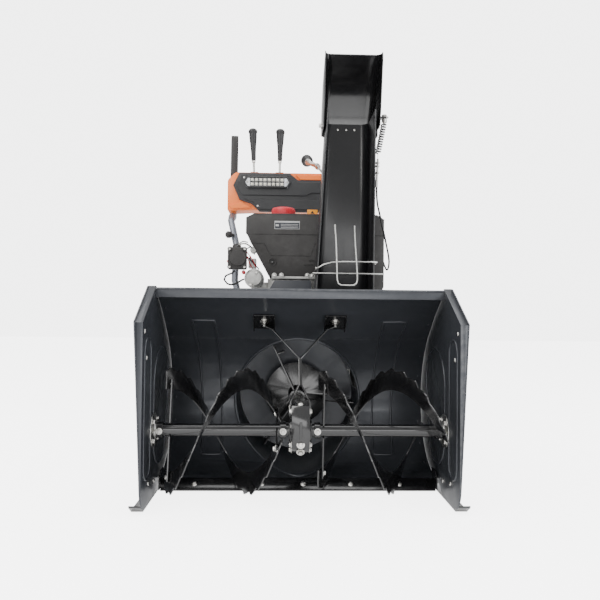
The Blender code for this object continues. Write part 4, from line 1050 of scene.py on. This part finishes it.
def make_switch_box_details():
    corners = [(x, z) for z in (0.635, 0.695) for x in (-0.225, -0.175)]
    bm = bmesh.new()
    add_turned(bm, [(0, 0), (0.029, 0), (0.027, 0.004), (0.013, 0.0055), (0, 0.0055)],
               (-0.1975, 0.574, 0.666), AHEAD, 36)
    for x, z in corners:
        add_ring(bm, 0, 0.0075, 0.0025, (x, 0.574, z), AHEAD, 18)
    piece("switch_box_cover", bm, "plastic_black", 0.0006)
    zinc = bmesh.new()
    for x, z in corners:
        add_pan_screw(zinc, (x, 0.5715, z), AHEAD, 0.004)
    piece("switch_box_screws", zinc, "zinc")


def make_wiring():
    """Red boots and wires at the starter, the harness, and the carburettor behind it."""
    bm = bmesh.new()
    for foot, run, r, length in (((-0.1795, 0.6065, 0.619), (0, -1, 0.1), 0.0068, 0.016),
                                 ((-0.23, 0.59, 0.655), (-1, 0, 0), 0.005, 0.005),
                                 ((-0.158, 0.61, 0.67), (0, -1, 0.3), 0.0035, 0.012)):
        add_turned(bm, [(0, 0), (r, 0), (r * 0.9, length * 0.8), (r * 0.5, length),
                        (0, length)], foot, run, 20)
    piece("terminal_boots", bm, "red")
    wires = (((-0.171, 0.6, 0.69), (-0.154, 0.612, 0.668), (-0.14, 0.63, 0.64)),
             ((-0.172, 0.598, 0.68), (-0.16, 0.606, 0.65), (-0.15, 0.64, 0.632)))
    harness = (((-0.169, 0.602, 0.7), (-0.156, 0.64, 0.708), (-0.148, 0.7, 0.69)),
               ((-0.168, 0.6, 0.672), (-0.15, 0.62, 0.655), (-0.13, 0.65, 0.634)),
               ((-0.238, 0.905, 0.73), (-0.2, 0.8, 0.745), (-0.174, 0.72, 0.735)))
    swept_piece("starter_wires", [route(w, 0.005) for w in wires], 0.0016, 8, "red")
    swept_piece("engine_harness", [route(w, 0.005) for w in harness], 0.0022, 8, "cable")
    bm = bmesh.new()
    add_box(bm, (-0.166, 0.64, 0.638), (-0.14, 0.69, 0.67))
    add_ring(bm, 0, 0.011, 0.04, (-0.15, 0.64, 0.7), Y, 20)
    add_swept(bm, route([(-0.2, 0.64, 0.718), (-0.175, 0.64, 0.72),
                         (-0.15, 0.66, 0.705)], 0.006), 0.003, 8)
    piece("carburettor_parts", bm, "cast", 0.0012)


def make_muffler_and_recoil_details():
    # Painted shade: the louvre gaps are drawn as gloss black strips on the steel muffler. The
    # black stands for the shade inside the openings.
    bm = bmesh.new()
    for i in range(5):
        z = 0.45 + 0.018 * i
        add_box(bm, (0.2745, 0.7, z), (0.2765, 0.822, z + 0.006))
        add_box(bm, (0.214, 0.8415, z), (0.264, 0.8435, z + 0.006))
    piece("muffler_louvre_shade", bm, "gloss_black", 0.0006, slot="steel")
    # Painted shade: the cover's radial slots are drawn as gloss black strips on the plastic
    # cover, standing for the shade inside the openings. The centre disc is gloss black as well.
    bm = bmesh.new()
    for i in range(20):
        spin = Matrix.Translation((0, 0, 0.505)) @ Matrix.Rotation(math.tau * i / 20, 4, "Y")
        add_box(bm, (0.034, 0.8992, -0.003), (0.072, 0.903, 0.003), spin)
    add_turned(bm, [(0, 0), (0.022, 0), (0.018, 0.004), (0, 0.004)], (0, 0.902, 0.505), Y, 28)
    piece("recoil_slot_shade", bm, "gloss_black", 0.0005, slot="plastic_black")


# ---- wheels and frame details -----------------------------------------------------------

def make_tyre_details():
    for side, word in SIDES:
        bm = bmesh.new()
        centre = Matrix.Translation((side * WHEEL_X, WHEEL_Y, WHEEL_R))
        for i in range(22):
            for half in (-1, 1):
                spin = centre @ Matrix.Rotation(math.tau * (i + 0.25 * half) / 22, 4, "X")
                lean = spin @ Matrix.Rotation(math.radians(half * 24), 4, "Z")
                low, high = sorted((half * 0.006, half * 0.056))
                add_box(bm, (low, -0.008, 0.192), (high, 0.008, 0.2042), lean)
        for ring_x in (-0.064, 0.064):
            add_turned(bm, [(0.15, -0.0015), (0.154, 0.0015), (0.158, -0.0015)],
                       (side * WHEEL_X + ring_x, WHEEL_Y, WHEEL_R),
                       (1 if ring_x > 0 else -1, 0, 0), 48)
        piece(f"tread_{word}", bm, "tyre", 0.001, body="wheels")
        bm = bmesh.new()
        for i in range(5):
            angle = math.tau * i / 5
            spot = (side * 0.27, WHEEL_Y + 0.05 * math.cos(angle),
                    WHEEL_R + 0.05 * math.sin(angle))
            add_hex_bolt(bm, spot, (side, 0, 0), 0.013, 0.006)
        piece(f"rim_bolts_{word}", bm, "zinc", 0.0004, body="wheels")


def make_frame_details():
    bm = bmesh.new()
    for side in (-1, 1):
        for y, z in ((0.6, 0.38), (0.6, 0.15), (0.76, 0.38), (0.95, 0.38),
                     (0.95, 0.15)):
            add_hex_bolt(bm, (side * 0.15, y, z), (side, 0, 0), 0.012, 0.006)
        for z in (0.27, 0.34):
            add_hex_bolt(bm, (side * 0.171, 0.9435, z), Y, 0.012, 0.006)
    for x in (-0.12, 0, 0.12):
        for z in (0.145, 0.375):
            add_pan_screw(bm, (x, 0.97, z), Y, 0.006)
    for x in (-0.25, -0.09, 0.09, 0.25):
        add_pan_screw(bm, (x, 1.085, 0.985), Y, 0.005)
    piece("frame_bolts", bm, "zinc", 0.0004)
    bm = bmesh.new()
    knob = Vector((-0.24, 0.918, 0.785))
    add_turned(bm, [(0, 0), (0.006, 0), (0.006, 0.012), (0.0125, 0.014), (0.014, 0.026),
                    (0.01, 0.032), (0, 0.032)], knob, (-0.8, -0.6, 0), 20)
    for side in (-1, 1):
        foot = Vector((side * 0.224, 0.9205, 0.728))
        run = (Vector((side * 0.23, 0.9265, 0.756)) - foot).normalized()
        add_ring(bm, 0.0137, 0.0165, 0.02, foot, run, 28)
    piece("handlebar_clamps", bm, "plastic_black", 0.0006)


def make_crank_knob():
    bm = bmesh.new()
    direction = (CRANK_TIP - ROD_FOOT).normalized()
    side = Vector((-0.9, 0.0, 0.44))
    side = (side - direction * side.dot(direction)).normalized()
    end = CRANK_TIP + side * 0.044
    add_turned(bm, [(0, 0.0045), (0.0138, 0.0045), (0.015, 0.01), (0.0243, 0.0178),
                    (0.0243, 0.0344), (0.019, 0.0412), (0, 0.0414)], end, direction, 36)
    piece("crank_knob_grip", bm, "knob", smooth=50, body="chute_crank")


for make_details in (make_shroud_details, make_engine_label, make_cap_and_choke_details,
                     make_engine_castings, make_switch_box_details, make_wiring,
                     make_muffler_and_recoil_details, make_tyre_details, make_frame_details,
                     make_crank_knob, make_chute_details, make_deflector_cable,
                     make_guard_ends, make_fascia_faces, make_headlight_details,
                     make_lever_gates, make_lever_knobs, make_grip_ribs,
                     make_clutch_lever_details):
    make_details()
